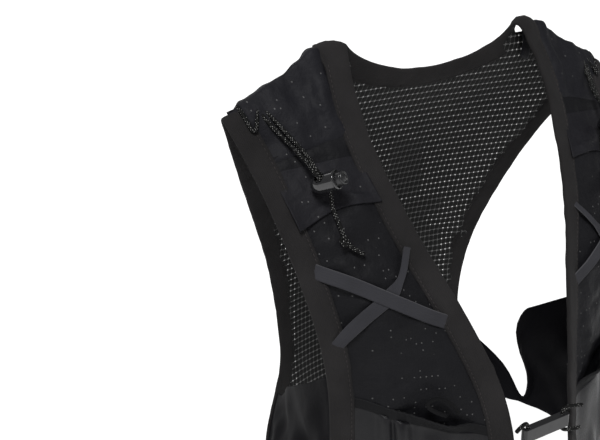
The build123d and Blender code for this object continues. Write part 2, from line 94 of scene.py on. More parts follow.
# how far forward each edge of the strap has come, by the drop below the shoulder
inner_fall = smooth((0, 0), (22, 20), (50, 36), (105, 66), (161, 92), (214, 114), (289, 130), (349, 132))
outer_fall = smooth((0, 0), (27, 21), (87, 56), (145, 70), (201, 74), (255, 70), (315, 60))
# the back panel's middle line, and how strongly it curls round the ribs
spine = smooth((0, 0), (-26, 14), (-60, 38), (-100, 58), (-160, 78), (-256, 92), (-330, 90))
curl = smooth((0, -0.0014), (-18, 0.00013), (-35, 0.0005), (-118, 0.0012), (-256, 0.0021), (-330, 0.003))
flask_swell = smooth((-86, 0.12), (-100, 0.35), (-145, 1.0), (-185, 0.8), (-205, 0.45))
lower_swell = smooth((-190, 0.5), (-230, 0.9), (-290, 1.0), (-333, 0.1))
sleeve_swell = smooth((-178, 0.55), (-230, 1.0), (-290, 0.85), (-340, 0.05))


def ridge(x):
    return NECK_Z + (TIP_Z - NECK_Z) * (abs(x) - NECK_X) / (TIP_X - NECK_X)


def across(x, z):
    """0 at the strap's neck edge, 1 at its arm edge."""
    return (abs(x) - strap_inner(z)) / (strap_outer(z) - strap_inner(z))


def strap_x(part, z):
    return strap_inner(z) + part * (strap_outer(z) - strap_inner(z))


def front_y(x, z):
    drop = ridge(x) - z
    part = across(x, z)
    return RIDGE_Y - (1 - part) * inner_fall(drop) - part * outer_fall(drop)


def back_y(x, z):
    return spine(z) - curl(z) * x * x


def dome(t):
    return max(0.0, 1 - t ** 4)


def fade(low, high, value):
    """0 at low and 1 at high, smooth between and level beyond; low may be the larger."""
    t = min(1.0, max(0.0, (value - low) / (high - low)))
    return t * t * (3 - 2 * t)


def ripple(x, y, z, size, seed=0.0):
    """Smooth noise between about -1 and 1; size is the width of one fold."""
    return noise.noise(Vector((x / size + seed, y / size - seed, z / size + 2 * seed)))


def unit(vectors):
    """A vector, or each row of an array of vectors, at length 1."""
    return vectors / np.linalg.norm(vectors, axis=-1, keepdims=True)


def length_at(line):
    """The length of a line of points up to each of them."""
    return np.concatenate([[0], np.cumsum(np.linalg.norm(np.diff(line, axis=0), axis=1))])


def sampled(at, places, table):
    """The columns of a table, each read at the places given."""
    return np.stack([np.interp(at, places, column) for column in np.transpose(table)], axis=-1)


# ---- the strap's form, with a rounded shoulder fold -------------------------
RUN_BACK, RUN_FRONT, RUN_STEP = -60.0, 366.0, 3.0
PARTS = 33


def raw_point(part, run):
    """A point of the strap's form: run is the drop below the fold, negative behind it."""
    drop = abs(run)
    x = NECK_X + part * (TIP_X - NECK_X)
    for _ in range(8):
        z = ridge(x) - drop
        if run >= 0:
            low, high = strap_inner(z), strap_outer(z)
        else:
            low, high = NECK_X + 0.12 * drop, back_outer(z)
        x = low + part * (high - low)
    y = front_y(x, z) if run >= 0 else back_y(x, z)
    top = math.exp(-(run / 13.0) ** 2)
    roll = 7.5 * fade(0.95, 0.12, part) + 3.2 * fade(0.7, 0.95, part)
    shift = 5.0 * fade(0.22, 0.0, part) - 3.0 * fade(0.86, 1.0, part)
    return (-x + top * shift, y, z + top * (2.6 + roll))


def build_form():
    runs = np.arange(RUN_BACK, RUN_FRONT + RUN_STEP, RUN_STEP)
    grid = np.array([[raw_point(j / (PARTS - 1), r) for j in range(PARTS)] for r in runs])
    kernel = np.exp(-(np.arange(-4, 5) / 1.9) ** 2)
    kernel /= kernel.sum()
    padded = np.concatenate([np.repeat(grid[:1], 4, 0), grid, np.repeat(grid[-1:], 4, 0)])
    soft = sum(k * padded[i:i + len(grid)] for i, k in enumerate(kernel))
    soft[-4:], soft[:4] = grid[-4:], grid[:4]
    return runs, soft


FORM_RUNS, FORM = build_form()


def strap_at(part, run, lift=0.0):
    """A point lift above the strap's form."""
    i = min(max((run - RUN_BACK) / RUN_STEP, 0.0), len(FORM_RUNS) - 1.001)
    j = min(max(part * (PARTS - 1), 0.0), PARTS - 1.001)
    a, b = int(i), int(j)
    u, v = i - a, j - b
    f = FORM[a:a + 2, b:b + 2]
    p = (1 - u) * ((1 - v) * f[0, 0] + v * f[0, 1]) + u * ((1 - v) * f[1, 0] + v * f[1, 1])
    if not lift:
        return p
    along = (1 - v) * (f[1, 0] - f[0, 0]) + v * (f[1, 1] - f[0, 1])
    aside = (1 - u) * (f[0, 1] - f[0, 0]) + u * (f[1, 1] - f[1, 0])
    return p + unit(np.cross(aside, along)) * lift


def on_strap(x, z, lift=0.0):
    """The same, by place: x is negative on the right strap."""
    return strap_at(across(x, z), ridge(x) - z, lift)


def on_back(x, z, lift=0.0):
    """A point lift behind the back panel's form."""
    p = np.array([x, back_y(x, z), z])
    if lift:
        gx = (back_y(x + 1, z) - back_y(x - 1, z)) / 2
        gz = (back_y(x, z + 1) - back_y(x, z - 1)) / 2
        p = p + unit(np.array([-gx, 1.0, -gz])) * lift
    return p


# ---- meshes ----------------------------------------------------------------


def linked(name, data):
    """A new object in the scene round a mesh, curve, camera or light."""
    obj = bpy.data.objects.new(name, data)
    bpy.context.scene.collection.objects.link(obj)
    return obj


def mesh_object(name, points, faces, material, uvs=None):
    """points in mm; faces are index lists; uvs one pair for each face corner, in mm."""
    mesh = bpy.data.meshes.new(name)
    mesh.from_pydata([tuple(c * MM for c in p) for p in points], [], faces)
    if uvs is not None:
        layer = mesh.uv_layers.new(name="UVMap")
        layer.data.foreach_set("uv", np.asarray(uvs, np.float32).ravel())
    mesh.materials.append(material)
    mesh.polygons.foreach_set("use_smooth", [True] * len(faces))
    mesh.update()
    return linked(name, mesh)


def grid_normals(grid):
    along = np.gradient(grid, axis=0)
    aside = np.gradient(grid, axis=1)
    n = np.cross(along, aside)
    return n / np.maximum(np.linalg.norm(n, axis=2, keepdims=True), 1e-9)


def cloth(name, grid, thick, material):
    """A closed sheet of even thickness round a grid of points."""
    grid = np.asarray(grid, float)
    rows, cols = grid.shape[:2]
    lift = grid_normals(grid) * thick / 2
    points = np.concatenate([(grid + lift).reshape(-1, 3), (grid - lift).reshape(-1, 3)])
    run = length_at(grid[:, cols // 2])
    wide = length_at(grid[rows // 2])
    under = rows * cols
    faces, uvs = [], []

    def add(*corners):
        faces.append([i * cols + j + (under if low else 0) for i, j, low in corners])
        uvs.extend((wide[j], run[i]) for i, j, _ in corners)

    for i in range(rows - 1):
        for j in range(cols - 1):
            add((i, j, 0), (i + 1, j, 0), (i + 1, j + 1, 0), (i, j + 1, 0))
            add((i, j, 1), (i, j + 1, 1), (i + 1, j + 1, 1), (i + 1, j, 1))
    for j in range(cols - 1):
        add((0, j, 0), (0, j + 1, 0), (0, j + 1, 1), (0, j, 1))
        add((rows - 1, j, 0), (rows - 1, j, 1), (rows - 1, j + 1, 1), (rows - 1, j + 1, 0))
    for i in range(rows - 1):
        add((i, 0, 0), (i, 0, 1), (i + 1, 0, 1), (i + 1, 0, 0))
        add((i, cols - 1, 0), (i + 1, cols - 1, 0), (i + 1, cols - 1, 1), (i, cols - 1, 1))
    return mesh_object(name, points, faces, material, uvs)


def ring_mesh(name, rings, material, around=1.0, along=None):
    """A capped skin over rings of points; uv runs along the rings in mm and round each in mm."""
    rings = np.asarray(rings, float)
    count, size = rings.shape[:2]
    if along is None:
        along = length_at(rings.mean(axis=1))
    faces, uvs = [], []
    for i in range(count - 1):
        for k in range(size):
            m = (k + 1) % size
            faces.append([i * size + k, i * size + m, (i + 1) * size + m, (i + 1) * size + k])
            uvs += [(along[i], around * k / size), (along[i], around * (k + 1) / size),
                    (along[i + 1], around * (k + 1) / size), (along[i + 1], around * k / size)]
    faces.append(list(range(size))[::-1])
    faces.append([(count - 1) * size + k for k in range(size)])
    uvs += [(along[0], 0)] * size + [(along[-1], 0)] * size
    return mesh_object(name, rings.reshape(-1, 3), faces, material, uvs)


def mirrored(obj, name):
    """A copy of obj on the other side of the vest."""
    mesh = obj.data.copy()
    co = np.zeros(len(mesh.vertices) * 3, np.float32)
    mesh.vertices.foreach_get("co", co)
    co = co.reshape(-1, 3)
    co[:, 0] *= -1
    mesh.vertices.foreach_set("co", co.ravel())
    mesh.flip_normals()
    return linked(name, mesh)


def place(obj, body="vest", replaces=()):
    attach(obj, body)
    if replaces:
        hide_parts(*replaces)
    return obj


def both(make, name, replaces=()):
    """Makes the right piece, mirrors it, and fixes both to the vest."""
    right = make(name + "_right")
    left = mirrored(right, name + "_left")
    for obj, side in ((right, "right"), (left, "left")):
        place(obj, replaces=[f"{n}_{side}" for n in replaces])
    return right, left


# ---- materials -------------------------------------------------------------


class Shader:
    """A small helper round one material's node tree."""

    def __init__(self, name, color, rough, **sockets):
        self.material = bpy.data.materials.new(name)
        self.material.use_nodes = True
        self.tree = self.material.node_tree
        self.out = self.tree.nodes["Principled BSDF"]
        self.out.inputs["Base Color"].default_value = (*color, 1)
        self.out.inputs["Roughness"].default_value = rough
        for socket, value in sockets.items():
            self.out.inputs[socket.replace("_", " ")].default_value = value

    def node(self, kind, **settings):
        node = self.tree.nodes.new("ShaderNode" + kind)
        for key, value in settings.items():
            if key in node.inputs.keys():
                self.put(node.inputs[key], value)
            else:
                setattr(node, key, value)
        return node

    def put(self, socket, value):
        if hasattr(value, "is_output"):
            self.tree.links.new(value, socket)
        else:
            socket.default_value = value

    def math(self, operation, a, b=0.0, c=0.0):
        node = self.tree.nodes.new("ShaderNodeMath")
        node.operation = operation
        for socket, value in zip(node.inputs, (a, b, c)):
            self.put(socket, value)
        return node.outputs[0]

    def coordinates(self, kind):
        """A coordinate of the texture node as a vector, then its three numbers."""
        vector = self.node("TexCoord").outputs[kind]
        return (vector, *self.node("SeparateXYZ", Vector=vector).outputs)

    def place(self):
        """The place on the object in metres, as a vector and as x and z."""
        vector, x, _, z = self.coordinates("Object")
        return vector, x, z

    def cloth_place(self):
        """u along a tape or cord and v round it, in mm."""
        return self.coordinates("UV")[1:3]

    def noise(self, vector, scale, detail=3.0, rough=0.55):
        node = self.node("TexNoise", Vector=vector, Scale=scale, Detail=detail, Roughness=rough)
        return node.outputs["Fac"]

    def bump(self, height, distance, strength=1.0, normal=None):
        node = self.node("Bump", Height=height, Distance=distance, Strength=strength)
        if normal is not None:
            self.put(node.inputs["Normal"], normal)
        return node.outputs[0]

    def mix(self, factor, a, b):
        node = self.tree.nodes.new("ShaderNodeMix")
        node.data_type = "RGBA"
        for socket, value in ((node.inputs[0], factor), (node.inputs[6], a), (node.inputs[7], b)):
            if isinstance(value, tuple):
                value = (*value, 1)
            self.put(socket, value)
        return node.outputs[2]

    def mottled(self, noise, color, low, high):
        """The colour, from low to high times as light."""
        return self.mix(noise, tuple(c * low for c in color), tuple(c * high for c in color))

    def finish(self, color=None, rough=None, normal=None):
        for socket, value in (("Base Color", color), ("Roughness", rough), ("Normal", normal)):
            if value is not None:
                self.put(self.out.inputs[socket], value)
        return self.material


CELL_X, CELL_Z = 4.1, 5.1                                        # cells of the knit mesh, in mm
RIP_X, RIP_Z, RIP_LINE, FLECK = 0.0034, 0.0042, 0.0004, 0.0004   # ripstop grid, in metres
FLECK_COLOR = (0.08, 0.08, 0.08)


def ribs(s, value, pitch):
    """Ribs across a length, one to each pitch."""
    return s.math("SINE", s.math("MULTIPLY", value, 2 * math.pi / pitch))


def from_middle(s, value):
    """How far past the middle of its unit cell a value is."""
    return s.math("SUBTRACT", s.math("FRACT", value), 0.5)


def square_sum(s, a, b):
    return s.math("ADD", s.math("MULTIPLY", a, a), s.math("MULTIPLY", b, b))


def cell_random(s, u, v):
    """One random number for each unit cell of u and v."""
    key = s.node("CombineXYZ", X=s.math("FLOOR", u), Y=s.math("FLOOR", v))
    return s.node("TexWhiteNoise", noise_dimensions="2D", Vector=key.outputs[0]).outputs["Value"]


def weave_height(s, a, b, pitch):
    """Threads over and under each other; a and b are lengths, pitch the thread width."""
    return s.math("MULTIPLY", ribs(s, a, 2 * pitch), ribs(s, b, 2 * pitch))


def lines(s, value, pitch, width):
    """1 on a thin line at each pitch, 0 between."""
    near = s.math("ABSOLUTE", from_middle(s, s.math("DIVIDE", value, pitch)))
    return s.math("GREATER_THAN", near, 0.5 - width / pitch / 2)


def flecks(s, x, z, chance):
    """Small dots of FLECK radius at some crossings of the ripstop grid."""
    u, v = s.math("DIVIDE", x, RIP_X), s.math("DIVIDE", z, RIP_Z)
    du = s.math("MULTIPLY", from_middle(s, u), RIP_X / FLECK)
    dv = s.math("MULTIPLY", from_middle(s, v), RIP_Z / FLECK)
    dot = s.math("LESS_THAN", square_sum(s, du, dv), 1.0)
    return s.math("MULTIPLY", dot, s.math("LESS_THAN", cell_random(s, u, v), chance))


def ripstop(name, color, chance):
    """Light ripstop: a fine weave with a faint grid, and light threads that show at some crossings."""
    s = Shader(name, color, 0.6, Specular_IOR_Level=0.12)
    vector, x, z = s.place()
    grid = s.math("MAXIMUM", lines(s, z, RIP_Z, RIP_LINE), lines(s, x, RIP_X, RIP_LINE))
    tone = s.mottled(s.noise(vector, 24.0, 5.0, 0.6), color, 0.6, 1.5)
    tone = s.mix(s.math("MULTIPLY", grid, 0.12), tone, tuple(c * 2.2 for c in color))
    share = s.math("MULTIPLY", s.math("GREATER_THAN", s.noise(vector, 30.0, 2.0), 0.42), chance)
    tone = s.mix(flecks(s, x, z, share), tone, FLECK_COLOR)
    height = s.math("ADD", s.math("MULTIPLY", weave_height(s, x, z, 0.00032), 0.35), grid)
    folds = s.bump(s.noise(vector, 70.0, 5.0), 0.0028, 0.8)
    return s.finish(color=tone, normal=s.bump(height, 0.0001, 0.6, folds))


def satin(name, color, rough, sheen=0.01, aniso=0.3, gloss=0.2):
    """Smooth cloth: a fine weave over soft folds."""
    s = Shader(name, color, rough, Sheen_Weight=sheen, Sheen_Roughness=0.35, Anisotropic=aniso,
               Specular_IOR_Level=gloss)
    vector, x, z = s.place()
    tone = s.mottled(s.noise(vector, 22.0, 4.0), color, 0.8, 1.25)
    folds = s.bump(s.noise(vector, 45.0, 4.0), 0.0012, 0.6)
    normal = s.bump(weave_height(s, x, z, 0.00035), 0.00006, 0.6, folds)
    return s.finish(color=tone, normal=normal)


def woven_tape(name, color, rib=0.75):
    """Grosgrain: ribs across the tape, and threads along it."""
    s = Shader(name, color, 0.78, Sheen_Weight=0.015, Sheen_Roughness=0.5, Specular_IOR_Level=0.08)
    u, v = s.cloth_place()
    vector = s.place()[0]
    tone = s.mottled(s.noise(vector, 30.0, 5.0), color, 0.45, 1.65)
    height = s.math("ADD", ribs(s, u, rib), s.math("MULTIPLY", ribs(s, v, 0.5), 0.5))
    folds = s.bump(s.noise(vector, 70.0, 4.0), 0.0009, 0.6)
    return s.finish(color=tone, normal=s.bump(height, 0.00009, 0.8, folds))


def elastic(name, color, edge, width=9.0):
    """Flat elastic: ribs along the band, tight cross threads, paler selvedges."""
    s = Shader(name, color, 0.7, Sheen_Weight=0.015, Sheen_Roughness=0.4, Specular_IOR_Level=0.1)
    u, v = s.cloth_place()
    side = s.math("ABSOLUTE", s.math("SUBTRACT", s.math("DIVIDE", v, width), 0.5))
    rim = s.math("GREATER_THAN", side, 0.45)
    tone = s.mottled(s.noise(s.place()[0], 60.0, 4.0), color, 0.8, 1.3)
    tone = s.mix(s.math("MULTIPLY", rim, 0.6), tone, edge)
    height = s.math("ADD", ribs(s, v, 1.1), s.math("MULTIPLY", ribs(s, u, 0.55), 0.6))
    return s.finish(color=tone, normal=s.bump(height, 0.00005, 0.6))


def plastic(name, color, rough, coat=0.0, metallic=0.0):
    """A hard surface, its gloss and tone a little worn."""
    s = Shader(name, color, rough, Metallic=metallic, Coat_Weight=coat, Coat_Roughness=0.08)
    vector = s.place()[0]
    wear = s.noise(vector, 220.0, 5.0)
    limits = {"From Min": 0.3, "From Max": 0.7, "To Min": max(0.02, rough - 0.06), "To Max": rough + 0.1}
    gloss = s.node("MapRange", Value=wear, **limits).outputs[0]
    grain = s.bump(s.noise(vector, 900.0, 2.0), 0.00002, 0.4)
    return s.finish(color=s.mottled(wear, color, 0.8, 1.3), rough=gloss, normal=grain)


def flecked_braid(name, dark, light):
    """Braided cord: slanting threads in relief, with light tracer threads that show as dots."""
    s = Shader(name, dark, 0.65, Specular_IOR_Level=0.12)
    u, v = s.cloth_place()
    along, turn = s.math("DIVIDE", u, 1.9), s.math("MULTIPLY", v, 4.0)
    one, two = s.math("ADD", along, turn), s.math("SUBTRACT", along, turn)
    a, b = s.math("ABSOLUTE", from_middle(s, one)), s.math("ABSOLUTE", from_middle(s, two))
    cell = s.math("MAXIMUM", a, b)
    tracer = s.math("MULTIPLY", s.math("LESS_THAN", cell, 0.14),
                    s.math("GREATER_THAN", cell_random(s, one, two), 0.4))
    height = s.math("SUBTRACT", 0.5, cell)
    return s.finish(color=s.mix(tracer, dark, light), normal=s.bump(height, 0.0003, 0.9))


def knit_mesh(name, ground, row_color, column_color, knot_color):
    """Knit mesh: light rows and columns of thread that cross at every hole."""
    s = Shader(name, ground, 0.7, Specular_IOR_Level=0.1)
    vector, x, z = s.place()
    u = s.math("ADD", s.math("DIVIDE", x, CELL_X * MM), 0.5)
    v = s.math("ADD", s.math("DIVIDE", z, CELL_Z * MM), 0.5)
    du = s.math("MULTIPLY", from_middle(s, u), CELL_X)
    dv = s.math("MULTIPLY", from_middle(s, v), CELL_Z)
    row = s.math("LESS_THAN", s.math("ABSOLUTE", dv), 0.36)
    column = s.math("LESS_THAN", s.math("ABSOLUTE", du), 0.25)
    knot = s.math("LESS_THAN", square_sum(s, du, dv), 0.7)
    tone = s.mottled(s.noise(vector, 40.0, 3.0), ground, 0.7, 1.5)
    for where, color in ((column, column_color), (row, row_color), (knot, knot_color)):
        tone = s.mix(where, tone, color)
    weave = s.math("MULTIPLY", weave_height(s, x, z, 0.0004), 0.5)
    height = s.math("ADD", s.math("ADD", row, column), weave)
    return s.finish(color=tone, normal=s.bump(height, 0.0002, 0.6))


MESH_CLOTH = knit_mesh("mesh_cloth", (0.0105, 0.0105, 0.0105), (0.085, 0.085, 0.085), (0.055, 0.055, 0.055),
                       (0.17, 0.17, 0.17))
TAPE_CLOTH = woven_tape("binding_tape", (0.0152, 0.0143, 0.0146))
STRAP_CLOTH = ripstop("strap_cloth", (0.0080, 0.0080, 0.0102), chance=0.08)
# painted shade: the upper pocket is the strap's ripstop, its colour darkened to stand in for the weaker
# light it gets
SHADED_UPPER_CLOTH = ripstop("upper_cloth_painted_shade", (0.0045, 0.0045, 0.0056), chance=0.08)
FLAP_CLOTH = ripstop("flap_cloth", (0.0082, 0.0080, 0.0100), chance=0.05)
POCKET_CLOTH = ripstop("pocket_cloth", (0.0050, 0.0050, 0.0062), chance=0.2)
SATIN_CLOTH = satin("satin_cloth", (0.0040, 0.0039, 0.0050), rough=0.34, gloss=0.22)
WING_CLOTH = satin("wing_cloth", (0.0040, 0.0039, 0.0048), rough=0.6, sheen=0.0, aniso=0.0, gloss=0.02)
ELASTIC = elastic("elastic", (0.026, 0.026, 0.030), (0.075, 0.075, 0.08))
HEM_ELASTIC = elastic("hem_elastic", (0.0055, 0.0055, 0.0062), (0.011, 0.011, 0.012))
THREAD = woven_tape("thread", (0.030, 0.027, 0.027), rib=0.3)
WEBBING = woven_tape("webbing", (0.016, 0.015, 0.015), rib=1.1)
PULL_CORD = woven_tape("pull_cord", (0.0045, 0.0045, 0.0050), rib=0.5)
FLECKED = flecked_braid("flecked_cord", (0.004, 0.004, 0.004), (0.30, 0.30, 0.29))
LOCK_PLASTIC = plastic("lock_plastic", (0.010, 0.010, 0.011), 0.14, coat=0.6)
BUTTON_PLASTIC = plastic("button_plastic", (0.008, 0.008, 0.009), 0.32, coat=0.1)
HOOK_PLASTIC = plastic("hook_plastic", (0.010, 0.010, 0.011), 0.35)
BAR_PLASTIC = plastic("bar_plastic", (0.02, 0.02, 0.022), 0.4)
FILM = plastic("bladder_film", (0.10, 0.13, 0.17), 0.3, coat=0.3)
PORT_PLASTIC = plastic("clear_plastic", (0.12, 0.15, 0.18), 0.35)
STEEL = plastic("spring_steel", (0.5, 0.5, 0.5), 0.3, metallic=1.0)
PATCH = woven_tape("plain_patch", (0.007, 0.007, 0.007), rib=0.4)


def recolor_nodes():
    """Materials for the CAD nodes that stay."""
    kept = {
        "closure_hook": HOOK_PLASTIC,
        "reservoir_slide_bar": BAR_PLASTIC,
        "reservoir_outlet": PORT_PLASTIC,
    }
    for side, _ in SIDES:
        kept["cord_lock_body_" + side] = LOCK_PLASTIC
        kept["cord_lock_plunger_" + side] = BUTTON_PLASTIC
        kept["cord_lock_spring_" + side] = STEEL
    for node, material in kept.items():
        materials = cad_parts[node].data.materials
        if not materials:
            materials.append(material)
        for i in range(len(materials)):
            materials[i] = material


# ---- camera, light, floor ---------------------------------------------------
TARGET = Vector((-109.17, 0.0, -108.86)) * MM
AZIMUTH, ELEVATION, ROLL = math.radians(28.75), math.radians(21.07), math.radians(-1.75)
CAMERA_FAR = 545.4 * MM
LENS = 50.5


def add_camera():
    """Looks at TARGET from CAMERA_FAR away, rolled a little."""
    level = Vector((math.sin(AZIMUTH), math.cos(AZIMUTH), 0)) * math.cos(ELEVATION)
    look = level - Vector((0, 0, math.sin(ELEVATION)))
    right = Vector((math.cos(AZIMUTH), -math.sin(AZIMUTH), 0))
    up = right.cross(look)
    right, up = right * math.cos(ROLL) + up * math.sin(ROLL), up * math.cos(ROLL) - right * math.sin(ROLL)
    data = bpy.data.cameras.new("camera")
    data.lens, data.sensor_width = LENS, 36
    data.clip_start, data.clip_end = 0.01, 50
    camera = linked("camera", data)
    turn = Matrix((right, up, -look)).transposed().to_4x4()
    camera.matrix_world = Matrix.Translation(TARGET - look * CAMERA_FAR) @ turn
    bpy.context.scene.camera = camera


def facing(direction):
    """The rotation of a lamp that shines in a direction."""
    return Vector(direction).to_track_quat("-Z", "Y").to_euler()


def add_area(name, at, aim, size, power):
    data = bpy.data.lights.new(name, "AREA")
    data.shape, data.size, data.energy = "SQUARE", size, power
    lamp = linked(name, data)
    lamp.location = at
    lamp.rotation_euler = facing(Vector(aim) - Vector(at))


def add_lamps():
    """A broad soft sun in front, with a weak fill and a rim light behind."""
    sun = bpy.data.lights.new("key", "SUN")
    sun.energy, sun.angle = 3.0, math.radians(18)
    linked("key", sun).rotation_euler = facing((0.55, 0.60, -1.25))
    add_area("fill", (0.9, -1.2, 0.5), (0, 0, -0.2), 1.2, 2.0)
    add_area("rim", (-0.2, 1.5, 0.9), (0, 0, -0.15), 1.0, 7.0)


FLOOR_HALF, FLOOR_Z = 6000, -420


def add_floor():
    s = Shader("floor", (0.25, 0.25, 0.25), 0.9, Specular_IOR_Level=0.0, Emission_Color=(1, 1, 1, 1),
               Emission_Strength=0.92)
    corners = [(x * FLOOR_HALF, y * FLOOR_HALF, FLOOR_Z) for x, y in ((-1, -1), (1, -1), (1, 1), (-1, 1))]
    mesh_object("floor", corners, [[0, 1, 2, 3]], s.material)


def add_world():
    """A white backdrop that lights the vest only weakly."""
    world = bpy.data.worlds.new("studio")
    bpy.context.scene.world = world
    bpy.context.scene.view_settings.view_transform = "Standard"
    world.use_nodes = True
    nodes, links = world.node_tree.nodes, world.node_tree.links
    seen = nodes.new("ShaderNodeLightPath")
    mix = nodes.new("ShaderNodeMix")
    mix.inputs[2].default_value, mix.inputs[3].default_value = 0.22, 1.0
    links.new(seen.outputs["Is Camera Ray"], mix.inputs[0])
    links.new(mix.outputs[0], nodes["Background"].inputs[1])
    nodes["Background"].inputs[0].default_value = (1, 1, 1, 1)


# ---- tapes -----------------------------------------------------------------
TAPE_SECTION = ((-0.9, 0.0), (-0.7, 0.75), (0.0, 1.35), (1.6, 1.6), (5.0, 1.55), (9.0, 1.5),
                (12.2, 1.4), (13.0, 1.05), (13.8, 1.3), (14.8, 1.15), (15.1, 0.6), (15.1, -0.3),
                (14.8, -0.9), (13.8, -1.1), (13.0, -0.85), (12.2, -1.2), (9.0, -1.3), (5.0, -1.35),
                (1.6, -1.4), (0.0, -1.15), (-0.7, -0.7))


def soften(values, width, times=1):
    """Moving average along the first axis, ends kept."""
    for _ in range(times):
        padded = np.concatenate([np.repeat(values[:1], width, 0), values, np.repeat(values[-1:], width, 0)])
        values = sum(padded[k:k + len(values)] for k in range(2 * width + 1)) / (2 * width + 1)
    return values


def tape_swell(point, seed, wave):
    """How far a tape stands out where its stitches let it."""
    return wave * ripple(*point, 13.0, seed) + 0.5 * wave * ripple(*point, 5.5, seed + 3)


TAPE_WIDE, FOLD_WIDER, FOLD_SWELL, TAPE_WAVE = 15.0, 0.35, 2.4, 0.65


def tape(name, edge, normals, hints, material, seed=0.0, size=1.0):
    """A folded tape along an edge, wider over the shoulder; the hints point to the cloth's side."""
    tangent = unit(np.gradient(edge, axis=0))
    inward = unit(np.cross(normals, tangent))
    inward *= np.sign((inward * hints).sum(axis=1))[:, None]
    out = np.cross(tangent, inward)
    out = unit(out * np.sign((out * normals).sum(axis=1))[:, None])
    rings = []
    for p, a, n in zip(edge, inward, out):
        ring = []
        fold = fade(-14.0, 0.0, p[2])
        wide = size * (1 + FOLD_WIDER * fold)
        for u, h in TAPE_SECTION:
            u *= wide
            q = p + a * u
            middle = math.sin(math.pi * min(1.0, max(0.0, u / (TAPE_WIDE * wide))))
            swell = tape_swell(q, seed, TAPE_WAVE) + FOLD_SWELL * fold * middle
            pull = 0.35 * ripple(*p, 9.0, seed + 7) * fade(3, 14, u)
            ring.append(q + a * pull + n * (h * (1 + 0.10 * ripple(*q, 7.0, seed + 5)) + swell))
        rings.append(ring)
    return ring_mesh(name, rings, material, around=34.0)


def add_thread(points, faces, stations, side, out):
    """One stitch: a six-sided thread through (centre, radius) stations, closed at both ends."""
    start, last = len(points), 6 * (len(stations) - 1)
    for centre, radius in stations:
        for k in range(6):
            angle = math.pi * k / 3
            points.append(centre + side * radius * math.cos(angle) + out * radius * math.sin(angle))
    for base in range(start, start + last, 6):
        for k in range(6):
            m = (k + 1) % 6
            faces.append([base + k, base + m, base + 6 + m, base + 6 + k])
    faces.append([start + k for k in range(6)][::-1])
    faces.append([start + last + k for k in range(6)])


def thread_mesh(name, points, faces):
    return mesh_object(name, points, faces, THREAD, [(0.0, 0.0)] * sum(len(f) for f in faces))


STITCH = ((-1.15, 0.10, -0.35), (-0.75, 0.27, -0.02), (0.75, 0.27, -0.02), (1.15, 0.10, -0.35))
STITCH_PITCH = 3.1


def stitches(name, edge, normals, hints, inset=13.0, height=1.35, seed=0.0, wave=TAPE_WAVE):
    """A row of stitches along a tape, each a small rounded thread."""
    length = length_at(edge)
    tangent = unit(np.gradient(edge, axis=0))
    places = np.arange(2.0, length[-1] - 2.0, STITCH_PITCH)
    points, faces = [], []
    for p, t, n, hint in zip(*(sampled(places, length, v) for v in (edge, tangent, normals, hints))):
        t = unit(t)
        a = np.cross(n, t)
        a = unit(a * np.sign(a @ hint))
        out = np.cross(t, a)
        out = unit(out * np.sign(out @ n))
        q = p + a * inset
        middle = q + out * (height - 0.1 + tape_swell(q, seed, wave))
        stations = [(middle + t * along + out * drop, radius) for along, radius, drop in STITCH]
        add_thread(points, faces, stations, a, out)
    return thread_mesh(name, points, faces)


def run_at(part, z):
    """The drop below the fold at which the strap reaches a height."""
    return ridge(strap_x(part, z)) - z


def strap_edge(part, low_run, step=3.0):
    """Edge points of the strap from its hem up to the fold, with outward normals and the inward hint."""
    runs = np.arange(run_at(part, HEM_Z) - 0.5, low_run - 0.01, -step)
    inner_part = part + (0.05 if part < 0.5 else -0.05)
    edge = np.array([strap_at(part, r) for r in runs])
    hint = np.array([strap_at(inner_part, r) for r in runs]) - edge
    safe = min(max(part, 0.02), 0.98)
    normal = np.array([strap_at(safe, r, 1.0) - strap_at(safe, r) for r in runs])
    return edge, normal, hint


def back_line(points, hints):
    edge = np.array([on_back(x, z) for x, z in points])
    normal = np.array([on_back(x, z, 1.0) for x, z in points]) - edge
    hint = np.array([on_back(x + a, z + b) for (x, z), (a, b) in zip(points, hints)]) - edge
    return edge, normal, hint


def joined(*pieces):
    """Joins lines of (edge, normal, hint), evens out their spacing and rounds the joints."""
    parts = [np.concatenate([p[k] for p in pieces]) for k in range(3)]
    length = length_at(parts[0])
    even = np.linspace(0, length[-1], int(length[-1] / 2.6) + 1)
    parts = [sampled(even, length, p) for p in parts]
    return [np.concatenate([p[:1], soften(p, 3, 2)[1:-1], p[-1:]]) for p in parts]


def arm_line():
    """Down the back from the fold, so the list runs hem, strap, fold, back, hem."""
    front = strap_edge(1.0, -21.0)
    heights = np.arange(TIP_Z - 24, HEM_Z - 0.01, -3.0)
    points = [(-back_outer(z), z) for z in heights]
    back = back_line(points, [(5.0, 0.0)] * len(points))
    return joined(front, back)


def neck_line():
    front = strap_edge(0.0, 2.0)
    points = [(x, neckline(x)) for x in np.arange(-70, 70.1, 3.0)]
    back = back_line(points, [(0.0, -5.0)] * len(points))
    other = [p[::-1] * np.array([-1, 1, 1]) for p in front]
    return joined(front, back, other)


def make_tapes():
    line = arm_line()

    def arm(name):
        return tape(name, *line, TAPE_CLOTH, seed=1.0)

    def arm_stitches(name):
        return stitches(name, *line, seed=1.0)

    both(arm, "arm_tape", ["arm_tape"])
    both(arm_stitches, "arm_tape_stitches")
    line = neck_line()
    place(tape("neck_tape", *line, TAPE_CLOTH, seed=4.0), replaces=["neck_tape"])
    place(stitches("neck_tape_stitches", *line, seed=4.0))


# ---- back mesh --------------------------------------------------------------
HOLE_X, HOLE_Z = 0.52, 0.52
MESH_THICK = 0.5


